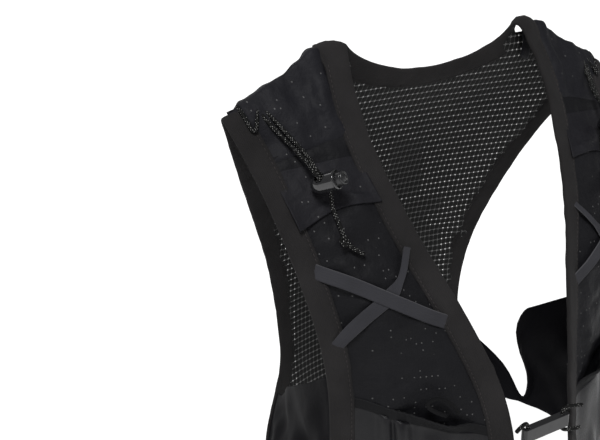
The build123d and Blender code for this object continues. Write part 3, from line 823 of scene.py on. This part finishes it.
def mesh_wave(x, z):
    """How far the mesh stands out of its form, in mm."""
    slack = 0.9 * ripple(x, 0, z, 60.0, 2.0) + 0.3 * ripple(x, 0, z, 17.0, 5.0)
    creases = 1.6 * ripple(x * 0.6 + z * 0.8, 0, (x * 0.8 - z * 0.6) * 0.25, 14.0, 9.0)
    return slack + creases * fade(-130, -190, z) * fade(-30, 40, x)


def make_back_mesh():
    """Knit mesh with a real hole in every cell, closed where the sleeve lies over it."""
    index, points, faces = {}, [], []

    def vertex(x, z, under):
        key = (round(x * 50), round(z * 50), under)
        if key not in index:
            index[key] = len(points)
            points.append(on_back(x, z, mesh_wave(x, z) + (-MESH_THICK if under else 0.0)))
        return index[key]

    ring = [(1, 0), (1, 1), (0, 1), (-1, 1), (-1, 0), (-1, -1), (0, -1), (1, -1)]
    cells = {}
    rows = int(-HEM_Z / CELL_Z) + 1
    columns = int(TIP_X / CELL_X) + 1
    for r in range(1, rows):
        z = -r * CELL_Z
        if z < HEM_Z + 5:
            continue
        for c in range(-columns, columns + 1):
            x = c * CELL_X
            inside = abs(x) < back_outer(z) - 6 and z < ridge(x) - 5
            if inside and (abs(x) > NECK_X or z < neckline(x) - 4):
                hidden = abs(x) < SLEEVE_HALF - 4 and z < SLEEVE_TOP - 14
                cells[c, r] = hidden
    for (c, r), hidden in cells.items():
        x, z = c * CELL_X, -r * CELL_Z
        outer = [(x + a * CELL_X / 2, z + b * CELL_Z / 2) for a, b in ring]
        top = [vertex(*p, False) for p in outer]
        low = [vertex(*p, True) for p in outer]
        if hidden:
            faces.append(top)
            faces.append(low[::-1])
        else:
            size = 1.0 + 0.18 * ripple(x, 0, z, 9.0, 4.0)
            hole = []
            for a, b in ring:
                norm = math.hypot(a, b)
                hole.append((x + a / norm * HOLE_X * size, z + b / norm * HOLE_Z * size))
            rim = [vertex(*p, False) for p in hole]
            rim_low = [vertex(*p, True) for p in hole]
            for k in range(8):
                m = (k + 1) % 8
                faces.append([top[k], top[m], rim[m], rim[k]])
                faces.append([low[m], low[k], rim_low[k], rim_low[m]])
                faces.append([rim[k], rim[m], rim_low[m], rim_low[k]])
        for k, (dc, dr) in enumerate(((1, 0), (0, -1), (-1, 0), (0, 1))):
            if (c + dc, r + dr) not in cells:
                a, b, d = ((7, 0, 1), (1, 2, 3), (3, 4, 5), (5, 6, 7))[k]
                faces.append([top[b], top[a], low[a], low[b]])
                faces.append([top[d], top[b], low[b], low[d]])
    obj = mesh_object("back_mesh", points, faces, MESH_CLOTH)
    place(obj, replaces=["back_mesh_panel"])


# ---- strap cloth and pockets -------------------------------------------------


def strap_grid(part_low, part_high, top, low, columns, rows, lift):
    """Points over the strap; top and low are heights or functions of part, lift(part, z) is in mm."""
    grid = []
    for i in range(rows):
        row = []
        for j in range(columns):
            part = part_low + (part_high - part_low) * j / (columns - 1)
            z_top = top(part) if callable(top) else top
            z_low = low(part) if callable(low) else low
            z = z_top + (z_low - z_top) * i / (rows - 1)
            row.append(form_point(part, z, lift(part, z)))
        grid.append(row)
    return np.array(grid)


def form_point(part, z, lift=0.0):
    return strap_at(part, run_at(part, z), lift)


def make_strap_cloth(name):
    """The strap's base cloth, folded over the shoulder and down behind it."""
    parts = np.linspace(0.05, 0.95, 61)
    grid = []
    for step in np.concatenate([np.arange(-0.062, 0.2, 0.0055), np.linspace(0.2, 1.0, 64)]):
        row = []
        for part in parts:
            r = step * run_at(part, HEM_Z + 3.0)
            p = strap_at(part, r)
            near = fade(85, 5, r) * fade(-20, -2, r)
            inside = fade(0.08, 0.24, part) * fade(0.96, 0.8, part)
            tuck = 0.6 + 1.8 * fade(0.55, 0.2, part)
            gather = near * tuck * 1.5 * ripple(part * 90.0, 0.0, r * 0.2, 9.0, 1.5)
            dent = 4.2 * ripple(*p, 24.0, 6.0) * fade(-20, 0, r) + 1.2 * near * ripple(*p, 10.0, 2.5)
            under = 2.8 * (fade(0.19, 0.13, part) + fade(0.84, 0.91, part)) * fade(60, 10, r)
            seam = upper_top(part)
            sunk = 3.0 * fade(seam - 1, seam - 8, p[2]) if r > 20 else 0.0
            dent *= fade(seam - 8, seam + 6, p[2]) if r > 20 else 1.0
            gather *= fade(seam - 8, seam + 6, p[2]) if r > 20 else 1.0
            row.append(strap_at(part, r, 0.6 - under - sunk + (gather + dent) * inside))
        grid.append(row)
    return cloth(name, grid, 0.9, STRAP_CLOTH)


FLAP_TOP, FLAP_LOW_OUT, FLAP_LOW_IN = -60.0, -101.0, -87.0
POCKET_TOP_IN, POCKET_TOP_OUT = -43.0, -62.0


def flap_low(part):
    rise = 5.0 * math.sin(math.pi * part) ** 2
    return FLAP_LOW_IN + (FLAP_LOW_OUT - FLAP_LOW_IN) * part + rise


def upper_top(part):
    return POCKET_TOP_IN + (POCKET_TOP_OUT - POCKET_TOP_IN) * part


def upper_lift(part, z):
    p = form_point(part, z)
    tuck = sewn(part) * fade(0, 8, upper_top(part) - z)
    seam = 0.7 * math.exp(-((z - upper_top(part) + 2.2) / 0.9) ** 2)
    folds = 2.8 * ripple(*p, 21.0, 3.0) + 1.6 * ripple(p[0], p[1], p[2] * 0.4, 8.0, 5.0)
    return tuck * above(1.8 + folds) - 0.3 - seam


def above(height):
    """The height itself where it is well above 0, eased so that it never falls below."""
    return 0.5 * (height + math.sqrt(height * height + 3.0))


def make_upper_pocket(name):
    """Cloth of the upper pocket, from its seam across the strap down to under the flap."""
    grid = strap_grid(0.09, 0.91, upper_top, -88.0, 61, 50, upper_lift)
    # the strap's ripstop with painted shade: a darker colour in place of the weaker light on the pocket
    return cloth(name, grid, 0.8, SHADED_UPPER_CLOTH)


def make_flap(name):
    """The flap, sewn along its top, its lower corners lifting off the pocket."""
    def lift(part, z):
        down = fade(FLAP_TOP, flap_low(part), z)
        corner = abs(2 * part - 1) ** 2.5 * (1.4 if part > 0.5 else 0.8)
        p = form_point(part, z)
        wave = 0.5 * (1 + ripple(*p, 15.0, 8.0))
        under = max(upper_lift(part, z), flask_lift(part, z) if z < -82 else 0.0)
        return under + 0.25 + down * (0.5 + wave) + 5.0 * corner * down ** 2

    def top(part):
        return FLAP_TOP - 7.0 * part

    grid = strap_grid(0.14, 0.875, top, flap_low, 61, 40, lift)
    return cloth(name, grid, 0.7, FLAP_CLOTH)


def crown(part, z, size, swell):
    return size * dome(2.3 * (part - 0.5)) * max(0.0, swell(z))


def sewn(part):
    """0 where a pocket's cloth lies under the tapes, 1 over its middle."""
    return fade(0.15, 0.36, part) * fade(0.84, 0.62, part)


MOUTH_IN, MOUTH_OUT = -230.0, -194.0


def mouth(part):
    return MOUTH_IN + (MOUTH_OUT - MOUTH_IN) * (part - 0.1)


def flask_lift(part, z):
    p = form_point(part, z)
    dents = 3.6 * ripple(*p, 30.0, 11.0) + 1.9 * ripple(p[0], p[1], p[2] * 1.8, 14.0, 12.0)
    return sewn(part) * above(1.7 + dents + crown(part, z, 4.6, flask_swell)) - 0.4


def make_flask_pocket(name):
    grid = strap_grid(0.08, 0.92, -84.0, lambda part: mouth(part) - 6.0, 67, 90, flask_lift)
    return cloth(name, grid, 0.8, POCKET_CLOTH)


def lower_lift(part, z):
    """Upright folds hang from the gathered mouth of the lower pocket."""
    p = form_point(part, z)
    below = fade(0, 12, mouth(part) - z) * fade(HEM_Z + 8, HEM_Z + 40, z)
    folds = ripple(part * 120.0, 0.0, z * 0.16, 15.0, 15.0)
    folds = 8.0 * below * (math.sqrt(folds * folds + 0.012) * 1.9 - 0.5)
    hang = 2.2 + folds + 1.6 * ripple(*p, 30.0, 17.0)
    return sewn(part) * above(hang + 0.4 + crown(part, z, 6.5, lower_swell)) - 0.1


def make_lower_pocket(name):
    low = HEM_Z + HEM_TALL - 1.0
    grid = strap_grid(0.08, 0.92, lambda part: mouth(part) - 6.0, low, 101, 80, lower_lift)
    return cloth(name, grid, 0.8, SATIN_CLOTH)


def gape(part):
    """The mouth stands open towards the neck side, where the pull loop is."""
    return 5.5 * math.exp(-((part - 0.36) / 0.16) ** 2)


def make_mouth_hem(name):
    """Elastic hem of the lower pocket, slightly gathered and standing open."""
    def lift(part, z):
        top = fade(mouth(part) - 6.0, mouth(part), z)
        gather = 0.35 * math.sin(part * 150.0 + 2.0 * math.sin(part * 31.0)) * (0.3 + 0.7 * top)
        return sewn(part) * above(2.6 + gape(part) * top + gather + crown(part, z, 6.5, lower_swell))

    grid = strap_grid(0.08, 0.92, mouth, lambda part: mouth(part) - 6.5, 121, 9, lift)
    return cloth(name, grid, 1.1, HEM_ELASTIC)


# ---- elastic bands ----------------------------------------------------------


BAND_WIDE, BAND_THICK, BAND_STEPS = 9.0, 1.0, 90
BAND_SECTION = ((-0.5, 0.0), (-0.47, 0.42), (-0.40, 0.5), (-0.2, 0.42), (0.0, 0.5), (0.2, 0.42),
                (0.40, 0.5), (0.47, 0.42), (0.5, 0.0), (0.47, -0.42), (0.40, -0.5), (0.0, -0.45),
                (-0.40, -0.5), (-0.47, -0.42))


def clear_lift(x, z, lift):
    """Where a band is free of its ends, the lift that keeps it off the pocket."""
    return max(lift, flask_lift(across(x, z), z) + 1.0) if lift > 4 else lift


def band(name, route, seed, narrow=0.0):
    """A flat elastic band through (x, z, lift) points: a fine strip that twists and waves a little."""
    route = [(x, z, clear_lift(x, z, lift)) for x, z, lift in route]
    knots = np.array([on_strap(*p) for p in route])
    outs = np.array([on_strap(x, z, lift + 1) - on_strap(x, z, lift) for x, z, lift in route])
    t = np.linspace(0, len(route) - 1, BAND_STEPS)
    path = soften(sampled(t, range(len(route)), knots), 6, 2)
    path[0], path[-1] = knots[0], knots[-1]
    out = soften(sampled(t, range(len(route)), outs), 4)
    rings = []
    for i, (p, d, n) in enumerate(zip(path, unit(np.gradient(path, axis=0)), out)):
        side = unit(np.cross(n, d))
        n = np.cross(d, side)
        twist = 0.35 * ripple(i * 0.5, 0, 0, 9.0, seed)
        sine, cosine = math.sin(twist), math.cos(twist)
        side, n = side * cosine + n * sine, n * cosine - side * sine
        wide = BAND_WIDE * (1 - narrow * fade(0.42, 0.30, i / BAND_STEPS))
        rings.append([p + side * a * wide + n * b * BAND_THICK for a, b in BAND_SECTION])
    return ring_mesh(name, rings, ELASTIC, around=2 * BAND_WIDE, along=length_at(path))


LONG_ROUTE = ((-133, -118.5, 0.0), (-128, -121, 0.3), (-122, -124.5, 2.8), (-114, -128, 6.2),
              (-103, -134, 9.4), (-89, -142, 9.9), (-76, -149, 9.2), (-67, -154.5, 6.2),
              (-60, -158, 2.8), (-54, -161, 0.2))
SHORT_ROUTE = ((-68, -112, 0.0), (-71, -116, 1.4), (-75, -124, 6.0), (-80, -133, 9.0), (-89, -142, 8.0),
               (-98, -146, 8.8), (-108, -152, 9.2), (-115, -158.5, 5.4), (-120, -165, 2.2),
               (-123, -169, 0.1))


def make_long_band(name):
    return band(name, LONG_ROUTE, 3.0)


def make_short_band(name):
    return band(name, SHORT_ROUTE, 6.0, narrow=0.5)


CROSSING = (-89, -142)
TACK_ROWS, TACK_PITCH, TACK_RADIUS = 9, 0.62, 0.2


def make_bar_tack(name):
    """Close zigzag stitching through both bands at their crossing."""
    points, faces = [], []
    x, z = CROSSING
    middle = on_strap(x, z, 9.6)
    side = unit(on_strap(x + 4, z - 2, 9.6) - middle)
    up = unit(on_strap(x, z + 4, 9.6) - middle)
    out = np.cross(side, up)
    out *= np.sign(out @ (on_strap(x, z, 12) - middle))
    for row in range(TACK_ROWS):
        aside = (row - TACK_ROWS // 2) * TACK_PITCH
        for tilt in (-0.075, 0.075):
            stations = []
            for along, drop in ((-2.6, -0.5), (-2.2, 0.0), (2.2, 0.0), (2.6, -0.5)):
                centre = middle + side * (aside + tilt * along) + up * along + out * drop
                stations.append((centre, TACK_RADIUS))
            add_thread(points, faces, stations, side, out)
    return thread_mesh(name, points, faces)


# ---- cords -----------------------------------------------------------------


def nurbs_line(points):
    """Points along the smooth curve that a NURBS spline makes of a route in mm."""
    curve = bpy.data.curves.new("route", "CURVE")
    curve.dimensions = "3D"
    curve.resolution_u = 24
    spline = curve.splines.new("NURBS")
    spline.points.add(len(points) - 1)
    for slot, p in zip(spline.points, points):
        slot.co = (*p, 1)
    spline.order_u = 3
    spline.use_endpoint_u = True
    holder = linked("route", curve)
    bpy.context.view_layer.update()
    mesh = bpy.data.meshes.new_from_object(holder)
    line = np.array([tuple(v.co) for v in mesh.vertices])
    bpy.data.objects.remove(holder)
    bpy.data.meshes.remove(mesh)
    bpy.data.curves.remove(curve)
    return line


def even_line(line, step):
    """The same line with its points at even steps."""
    keep = np.concatenate([[True], np.linalg.norm(np.diff(line, axis=0), axis=1) > 1e-6])
    line = line[keep]
    length = length_at(line)
    even = np.linspace(0, length[-1], max(4, int(length[-1] / step) + 1))
    return sampled(even, length, line)


CORD_STEP, CORD_END = 0.42, 0.5
BRAID_PITCH, BRAID_STRANDS, BRAID_RELIEF = 0.95, 8, 0.07


def cord_mesh(name, line, diameter, material, around=20):
    """A braided round cord along a line of points, its ends slightly melted round."""
    line = even_line(line, CORD_STEP)
    tangent = unit(np.gradient(line, axis=0))
    side = unit(np.cross(tangent[0], (0.3, 0.2, 1.0)))
    rings = []
    last = len(line) - 1
    for i, (p, d) in enumerate(zip(line, tangent)):
        side = unit(side - d * (side @ d))
        other = np.cross(d, side)
        end = min(i, last - i) * CORD_STEP
        size = diameter / 2 * math.sqrt(max(0.12, 1 - max(0.0, 1 - end / CORD_END) ** 2))
        ring = []
        for k in range(around):
            turn = 2 * math.pi * k / around
            along, slant = i * CORD_STEP / BRAID_PITCH, BRAID_STRANDS * k / around
            one, two = (along + slant) % 1.0 - 0.5, (along - slant) % 1.0 - 0.5
            r = size * (1.0 + BRAID_RELIEF * (0.5 - max(abs(one), abs(two))))
            ring.append(p + side * math.cos(turn) * r + other * math.sin(turn) * r)
        rings.append(ring)
    return ring_mesh(name, rings, material, along=np.arange(len(line)) * CORD_STEP)


LOCK_TILT, LOCK_ROLL = math.radians(45.0), math.radians(30.0)
LOCK_X, LOCK_Z, LOCK_OFF = -115.5, -69.0, 17.0
HOLE_MID = -1.3
STRAND = 1.36


def on_front(x, z, lift):
    """CAD's own stand-off: straight forward from the form."""
    return np.array([x, front_y(x, z) - lift, z])


def lock_axes():
    """The lock's middle, its long axis, the axis across and the axis of its cord hole."""
    along = unit(on_front(LOCK_X + 5, LOCK_Z, 0) - on_front(LOCK_X - 5, LOCK_Z, 0))
    up = unit(on_front(LOCK_X, LOCK_Z + 5, 0) - on_front(LOCK_X, LOCK_Z - 5, 0))
    outward = unit(np.cross(along, up))
    up = np.cross(outward, along)
    axis = along * math.cos(LOCK_TILT) + outward * math.sin(LOCK_TILT)
    square = outward * math.cos(LOCK_TILT) - along * math.sin(LOCK_TILT)
    hole = unit(square * math.cos(LOCK_ROLL) + up * math.sin(LOCK_ROLL))
    return on_front(LOCK_X, LOCK_Z, LOCK_OFF), axis, np.cross(hole, axis), hole


LOCK = lock_axes()


def in_lock(x, y, z):
    return LOCK[0] + LOCK[1] * x + LOCK[2] * y + LOCK[3] * z


STRAND_ROUTE = ((-134.5, -32.5, 4.2), (-127.5, -45, 5.6), (-120.5, -57.5, 11.5))
TAIL_ROUTE = ((-112.5, -84.5, 7.0), (-111.6, -91, 6.8), (-110.5, -97.5, 7.6), (-110.8, -103.5, 8.8),
              (-106.5, -108.5, 8.4), (-100.5, -112.5, 8.4))
ANCHOR_ROUTE = ((-147, -33, 0.5), (-146, -37, 2.8), (-142.5, -48, 3.6), (-138, -40, 3.4), (-136, -34, 2.4),
                (-135, -30, -1.0))
STRAND_SPREAD = (1.5, 1.4, 1.0)
STRAND_CORD = CORD * 0.92   # drawn tight
KNOT_AT = (-110.8, -103.5, 9.0)


def strand_points(side):
    """The route of one of the two strands, from the cloth to the lock's middle."""
    step = side * STRAND
    points = []
    for (x, z, lift), spread in zip(STRAND_ROUTE, STRAND_SPREAD):
        points.append(on_front(x + 0.8 * step * spread, z + 0.5 * step * spread, lift))
    return points + [in_lock(HOLE_MID, step, 2.0 * LOCK_R), in_lock(HOLE_MID, step, 0)]


def make_pocket_cord(name):
    """Both strands come out of the cloth side by side and meet in the lock."""
    return cord_mesh(name, nurbs_line(strand_points(1)[::-1] + strand_points(-1)), STRAND_CORD, FLECKED)


def make_anchor(name):
    """The bight that shows at the shoulder, both ends sewn in under the tape and the cloth."""
    return cord_mesh(name, nurbs_line([on_strap(*p) for p in ANCHOR_ROUTE]), STRAND_CORD, FLECKED)


def tail_points():
    inside = [in_lock(HOLE_MID, 0, 0), in_lock(HOLE_MID, 0, -LOCK_R - 0.6)]
    return inside + [on_front(*p) for p in TAIL_ROUTE]


def lathe(name, profile, material):
    """A turned part round the lock's long axis, from (along, radius) pairs."""
    turns = [2 * math.pi * k / 64 for k in range(64)]
    rings = [[in_lock(x, r * math.cos(a), r * math.sin(a)) for a in turns] for x, r in profile]
    return ring_mesh(name, rings, material, around=20.0)


def make_lock_rim(name):
    """The rolled lip round the barrel's mouth."""
    profile = []
    for k in range(25):
        a = 2 * math.pi * k / 24
        profile.append((6.4 + 0.75 * math.cos(a), 5.45 + 0.75 * math.sin(a)))
    return lathe(name, profile, LOCK_PLASTIC)


CAP_PROFILE = ((10.2, 0.05), (10.2, 4.15), (10.7, 4.42), (11.3, 4.40), (11.75, 4.05), (11.9, 3.6),
               (11.85, 3.3), (11.35, 3.15), (11.1, 2.9), (11.15, 2.6), (11.6, 2.4), (11.85, 1.9),
               (12.0, 1.1), (12.05, 0.4), (12.05, 0.05))


def make_button_cap(name):
    """The moulded top of the button: a rounded edge, a ring groove and a domed middle."""
    return lathe(name, CAP_PROFILE, BUTTON_PLASTIC)


def make_lock_details():
    both(make_lock_rim, "cord_lock_rim")
    right = make_button_cap("cord_lock_cap_right")
    left = mirrored(right, "cord_lock_cap_left")
    place(right, "plunger_right")
    place(left, "plunger_left")


KNOT_CORD, KNOT_STEPS = 2.3, 120


def make_knot(name):
    """An overhand knot, drawn tight."""
    middle = on_front(*KNOT_AT)
    axis = unit(on_front(-110.8, -100, 0) - on_front(-110.8, -106, 0))
    side = unit(np.cross(axis, (0, -1, 0.3)))
    out = np.cross(axis, side)
    half = KNOT_CORD / 2
    line = []
    for k in range(KNOT_STEPS):
        a = 2 * math.pi * k / (KNOT_STEPS - 1) * 0.94 + 0.2
        r = half * (1.45 + 0.8 * math.cos(3 * a))
        flat = side * r * math.cos(2 * a) + axis * r * math.sin(2 * a) * 1.1
        line.append(middle + flat + out * half * math.sin(3 * a))
    return cord_mesh(name, np.array(line), KNOT_CORD, FLECKED, around=16)


def make_cords():
    both(make_anchor, "cord_anchor", ["cord_anchor"])
    both(make_pocket_cord, "pocket_cord", ["pocket_cord"])
    knots = both(make_knot, "tail_knot", ["tail_knot"])
    line = nurbs_line(tail_points())

    def tail(name):
        return cord_mesh(name, line, CORD, FLECKED)

    tails = both(tail, "cord_tail", ["cord_tail"])


# ---- hems, loop and patch ----------------------------------------------------


def make_strap_hem(name):
    parts = np.linspace(0.04, 0.96, 40)
    z = HEM_Z + 1.0
    edge = np.array([strap_at(p, run_at(p, z)) for p in parts])
    hint = np.array([strap_at(p, run_at(p, z + 5)) for p in parts]) - edge
    normal = np.array([strap_at(p, run_at(p, z), 1.0) for p in parts]) - edge
    return tape(name, edge + normal * 0.5, normal, hint, TAPE_CLOTH, seed=7.0, size=0.8)


def make_back_hem():
    half = back_outer(HEM_Z) - 8
    line = back_line([(x, HEM_Z + 1.0) for x in np.linspace(-half, half, 90)], [(0.0, 5.0)] * 90)
    hem = tape("back_hem", *line, TAPE_CLOTH, seed=9.0, size=0.8)
    place(hem, replaces=["back_hem"])
    place(stitches("back_hem_stitches", *line, inset=10.4, seed=9.0))


LOOP_WIDE, LOOP_OUT, LOOP_TALL = 34.0, 14.0, 6.0


def make_hang_loop():
    """A loop of narrow webbing sewn to the back of the neck tape."""
    z = neckline(0) - 8.0
    base = back_y(0, neckline(0) - 5.0) + 2.2
    path = []
    for k in range(49):
        a = math.pi * k / 48
        x = LOOP_WIDE / 2 * -math.copysign(abs(math.cos(a)) ** 0.5, math.cos(a))
        path.append((x, base + (LOOP_OUT - 1.0) * math.sin(a) ** 0.5, z + 0.25 * math.sin(7 * a)))
    path = soften(np.array([(path[0][0], base - 1.5, z)] + path + [(path[-1][0], base - 1.5, z)]), 1)
    grid = [[p + np.array([0, 0, t]) for p in path] for t in np.linspace(LOOP_TALL / 2, -LOOP_TALL / 2, 9)]
    place(cloth("hang_loop", grid, 1.4, WEBBING), replaces=["hang_loop"])


def make_patch():
    """A plain woven patch sewn behind the mesh, its corners rounded."""
    grid = []
    for i in range(41):
        row = []
        for j in range(25):
            v, u = i / 40, j / 24
            x = 2 + 12 * v + 29 * u
            z = -88 - 2 * u - 51 * v
            from_end, from_side = min(v, 1 - v), min(u, 1 - u)
            inward = 1 if u < 0.5 else -1
            round_x = 1.2 * inward * fade(0.08, 0.0, from_end) * fade(0.3, 0.0, from_side)
            lift = 1.7 + mesh_wave(x, z) + 0.25 * fade(0.06, 0.0, min(from_end, from_side))
            row.append(on_back(x + round_x, z, lift))
        grid.append(row)
    place(cloth("back_patch", grid, 0.9, PATCH), replaces=["back_patch"])


# ---- side wings --------------------------------------------------------------
WING_TOP_FRONT, WING_TOP_BACK = -186.0, -283.0
WING_DIP_RIGHT, WING_DIP_LEFT, WING_DIP_START = 6.0, 75.0, 0.56
WING_BULGE, WING_GAP = 10.0, 1.5


def wing_top(part, dip):
    past = max(0.0, part - WING_DIP_START) / (1 - WING_DIP_START)
    return WING_TOP_FRONT + (WING_TOP_BACK - WING_TOP_FRONT) * part - dip * math.sin(math.pi * past) ** 2


def make_side_wing(name, dip):
    """Satin cloth under the arm; its folds run down from the back panel's side."""
    grid = []
    for i in range(60):
        v = i / 59
        row = []
        for j in range(56):
            u = j / 55
            top = wing_top(u, dip)
            z = top + (HEM_Z + 1 - top) * v
            front = front_y(strap_outer(z), z) + 0.8
            back = back_y(back_outer(z), z) + 1
            x = strap_outer(z) - 4 + (back_outer(z) - strap_outer(z)) * u
            fold = 5.5 * ripple(u * 46.0 + v * 24.0, 0.0, v * 14.0 - u * 5.0, 11.0, 21.0)
            fold += 1.8 * ripple(u * 70.0, 0.0, v * 60.0, 10.0, 23.0)
            calm = fade(0.0, 0.15, u) * fade(1.0, 0.85, u) * (0.35 + 0.65 * fade(0.0, 0.2, v))
            x += WING_BULGE * 4 * u * (1 - u) + WING_GAP * fade(0, 0.05, u) + fold * calm
            row.append((-x, front + (back - front) * u + 0.5 * fold * calm, z))
        grid.append(row)
    return cloth(name, grid, 0.8, WING_CLOTH)


def make_side_wings():
    """The left wing is made on the right, with its own sag, and mirrored."""
    right = make_side_wing("side_wing_right", WING_DIP_RIGHT)
    pattern = make_side_wing("wing_pattern", WING_DIP_LEFT)
    left = mirrored(pattern, "side_wing_left")
    bpy.data.objects.remove(pattern)
    place(right, replaces=["side_wing_right"])
    place(left, replaces=["side_wing_left"])


# ---- rear sleeve, reservoir ----------------------------------------------------


def behind(x, z, lift):
    return (x, back_y(x, z) + lift, z)


def sleeve_lift(x, z):
    wave = 1.6 * ripple(x, 0, z, 34.0, 31.0) + 0.7 * ripple(x, 0, z * 0.5, 12.0, 33.0)
    edge = fade(SLEEVE_HALF, SLEEVE_HALF - 14, abs(x)) * fade(HEM_Z + 12, HEM_Z + 30, z)
    return 1.8 + SLEEVE_CROWN * dome(x / SLEEVE_HALF) * max(0.0, sleeve_swell(z)) + wave * edge


def make_rear_sleeve():
    """Satin sleeve over the reservoir, sewn down at its sides and hem, with an elastic mouth."""
    xs = np.linspace(-SLEEVE_HALF, SLEEVE_HALF, 91)
    zs = np.linspace(SLEEVE_TOP - 7, HEM_Z + 11, 90)
    grid = [[behind(x, z, sleeve_lift(x, z)) for x in xs] for z in zs]
    place(cloth("rear_sleeve", grid, 0.9, SATIN_CLOTH), replaces=["rear_sleeve"])
    grid = []
    for z in np.linspace(SLEEVE_TOP, SLEEVE_TOP - 9, 9):
        gather = [0.5 * math.sin(x * 1.9 + math.sin(x * 0.3)) for x in xs]
        grid.append([behind(x, z, sleeve_lift(x, z) + 0.5 + g) for x, g in zip(xs, gather)])
    place(cloth("sleeve_mouth_hem", grid, 1.5, HEM_ELASTIC), replaces=["sleeve_mouth_hem"])
    for x in (-SLEEVE_HALF + 2, SLEEVE_HALF - 2):
        count = 50
        points = [(x, z) for z in np.linspace(SLEEVE_TOP - 3, HEM_Z + 14, count)]
        edge, normal, hint = back_line(points, [(0.1, 0.0)] * count)
        side = "right" if x < 0 else "left"
        row = stitches(f"sleeve_stitches_{side}", edge, normal, hint, inset=0.0, height=2.5, wave=0.0)
        place(row)


RESERVOIR_HALF, RESERVOIR_LOW, RESERVOIR_NECK = 58.0, -328.0, -163.0
BAR_Z, BAR_OFF, BEAD_R = -160.0, 9.0, 1.6
reservoir_swell = smooth((-163, 0.12), (-188, 0.45), (-235, 1.0), (-290, 0.85), (-328, 0.1))


def make_reservoir():
    """Water bladder: a film bag with a welded rim, its top folded to a bead that the slide bar grips."""
    bar_y = back_y(0, BAR_Z) + BAR_OFF
    rings = []
    heights = list(np.linspace(RESERVOIR_LOW, RESERVOIR_NECK, 60))
    heights += [BAR_Z + BEAD_R * math.sin(a) for a in np.linspace(-1.5, 1.5, 9)]
    for n, z in enumerate(heights):
        low = min(1.0, (z - RESERVOIR_LOW) / 18.0 + 0.02)
        half = RESERVOIR_HALF - 18.0 * (1 - math.sqrt(max(0.0, 1 - (1 - low) ** 2)))
        neck = fade(-186, RESERVOIR_NECK, z)
        outer, inner = [], []
        for x in np.linspace(-half, half, 61):
            weld = fade(half, half - 6.0, abs(x)) * fade(RESERVOIR_LOW, RESERVOIR_LOW + 7, z)
            crease = 0.8 * ripple(x, 0, z, 22.0, 41.0) + 0.5 * ripple(x, 0, z * 0.3, 9.0, 43.0)
            swell = 17.0 * dome(x / RESERVOIR_HALF) * max(0.0, reservoir_swell(z))
            y = back_y(x, z) + 1.6
            y_out = y + 0.8 + weld * (swell * (1 - neck) + crease * (1 - neck) * 0.8)
            y_in = y
            if neck > 0:
                thick = 1.1
                if n >= 60:
                    thick = 2 * math.sqrt(max(0.05, BEAD_R ** 2 - (z - BAR_Z) ** 2))
                y_out += (bar_y + thick / 2 - y_out) * neck
                y_in += (bar_y - thick / 2 - y_in) * neck
            outer.append((x, y_out, z))
            inner.append((x, y_in, z))
        rings.append(outer + inner[::-1])
    place(ring_mesh("reservoir", rings, FILM, around=240.0), replaces=["reservoir"])


# ---- small cords at the mouth and over the breastbone -------------------------


PULL_ROUTE = ((-61, -212), (-64, -205), (-72, -200.5), (-79, -203), (-77, -209), (-68, -213))
PULL_OFF = 14.5


def make_pull_loop(name):
    """A loop of plain cord that stands up from the lower pocket's mouth."""
    return cord_mesh(name, nurbs_line([on_front(x, z, PULL_OFF) for x, z in PULL_ROUTE]), CORD, PULL_CORD)


HOOK_Z, HOOK_PIN_X, HOOK_OFF = -236.0, 15.0, 3.0


def make_closure_loop(name):
    """The loop sewn to the strap's neck edge, with an upright end that the hook takes."""
    y = front_y(-strap_inner(HOOK_Z), HOOK_Z) - HOOK_OFF
    half = [(-strap_inner(HOOK_Z) - 4, y - 4, 8.5), (-HOOK_PIN_X - 2, y, 10), (-HOOK_PIN_X + 0.3, y, 4)]
    points = [(x, y, HOOK_Z + up) for x, y, up in half] + [(x, y, HOOK_Z - up) for x, y, up in half[::-1]]
    return cord_mesh(name, nurbs_line(points), CORD, FLECKED)


# ---- flat sizes ----------------------------------------------------------------

CUTS = {   # width, length and area of each piece of cloth as it is cut, in mm and mm2, and how it is held
    "strap_cloth": (113, 412, 33200, "stretched"), "upper_pocket": (65, 51, 2700, "stretched"),
    "pocket_flap": (58, 40, 1850, "hung"), "flask_pocket": (103, 173, 11600, "stretched"),
    "lower_pocket": (112, 128, 12300, "gathered"), "lower_mouth_hem": (112, 12, 700, "gathered"),
}
LONE_CUTS = {
    "side_wing_right": (167, 159, 14000, "hung"), "side_wing_left": (167, 159, 12200, "hung"),
    "back_patch": (32, 55, 1750, "stretched"), "rear_sleeve": (166, 156, 24500, "stretched"),
    "sleeve_mouth_hem": (164, 12, 1550, "gathered"),
}


def declare_sheets():
    """Gathers into one table the size every piece of cloth was cut to; the table is not used further."""
    cuts = dict(LONE_CUTS)
    for name, cut in CUTS.items():
        cuts[name + "_right"] = cuts[name + "_left"] = cut


# ---- run ---------------------------------------------------------------------
PAIRS = (
    (make_strap_cloth, "strap_cloth", "strap_panel", "strap_cloth"),
    (make_upper_pocket, "upper_pocket", "upper_pocket", "strap_cloth"),
    (make_flap, "pocket_flap", "pocket_flap", "flap_cloth"),
    (make_flask_pocket, "flask_pocket", "flask_pocket", "pocket_cloth"),
    (make_lower_pocket, "lower_pocket", "lower_pocket", "satin_cloth"),
    (make_mouth_hem, "lower_mouth_hem", "lower_mouth_hem", "elastic"),
    (make_long_band, "long_band", "long_band", "elastic"),
    (make_short_band, "short_band", "short_band", "elastic"),
    (make_bar_tack, "bar_tack", "bar_tack", "elastic"),
    (make_pull_loop, "pull_loop", "pull_loop", "flecked_cord"),
    (make_closure_loop, "closure_loop", "closure_loop", "flecked_cord"),
    (make_strap_hem, "strap_hem", "strap_hem", "binding_tape"),
)
recolor_nodes()
add_camera()
add_floor()
add_world()
add_lamps()
make_cords()
make_lock_details()
make_tapes()
make_back_mesh()
for make, name, node, slot in PAIRS:
    both(make, name, [node])
make_side_wings()
make_back_hem()
make_hang_loop()
make_patch()
make_rear_sleeve()
make_reservoir()
declare_sheets()
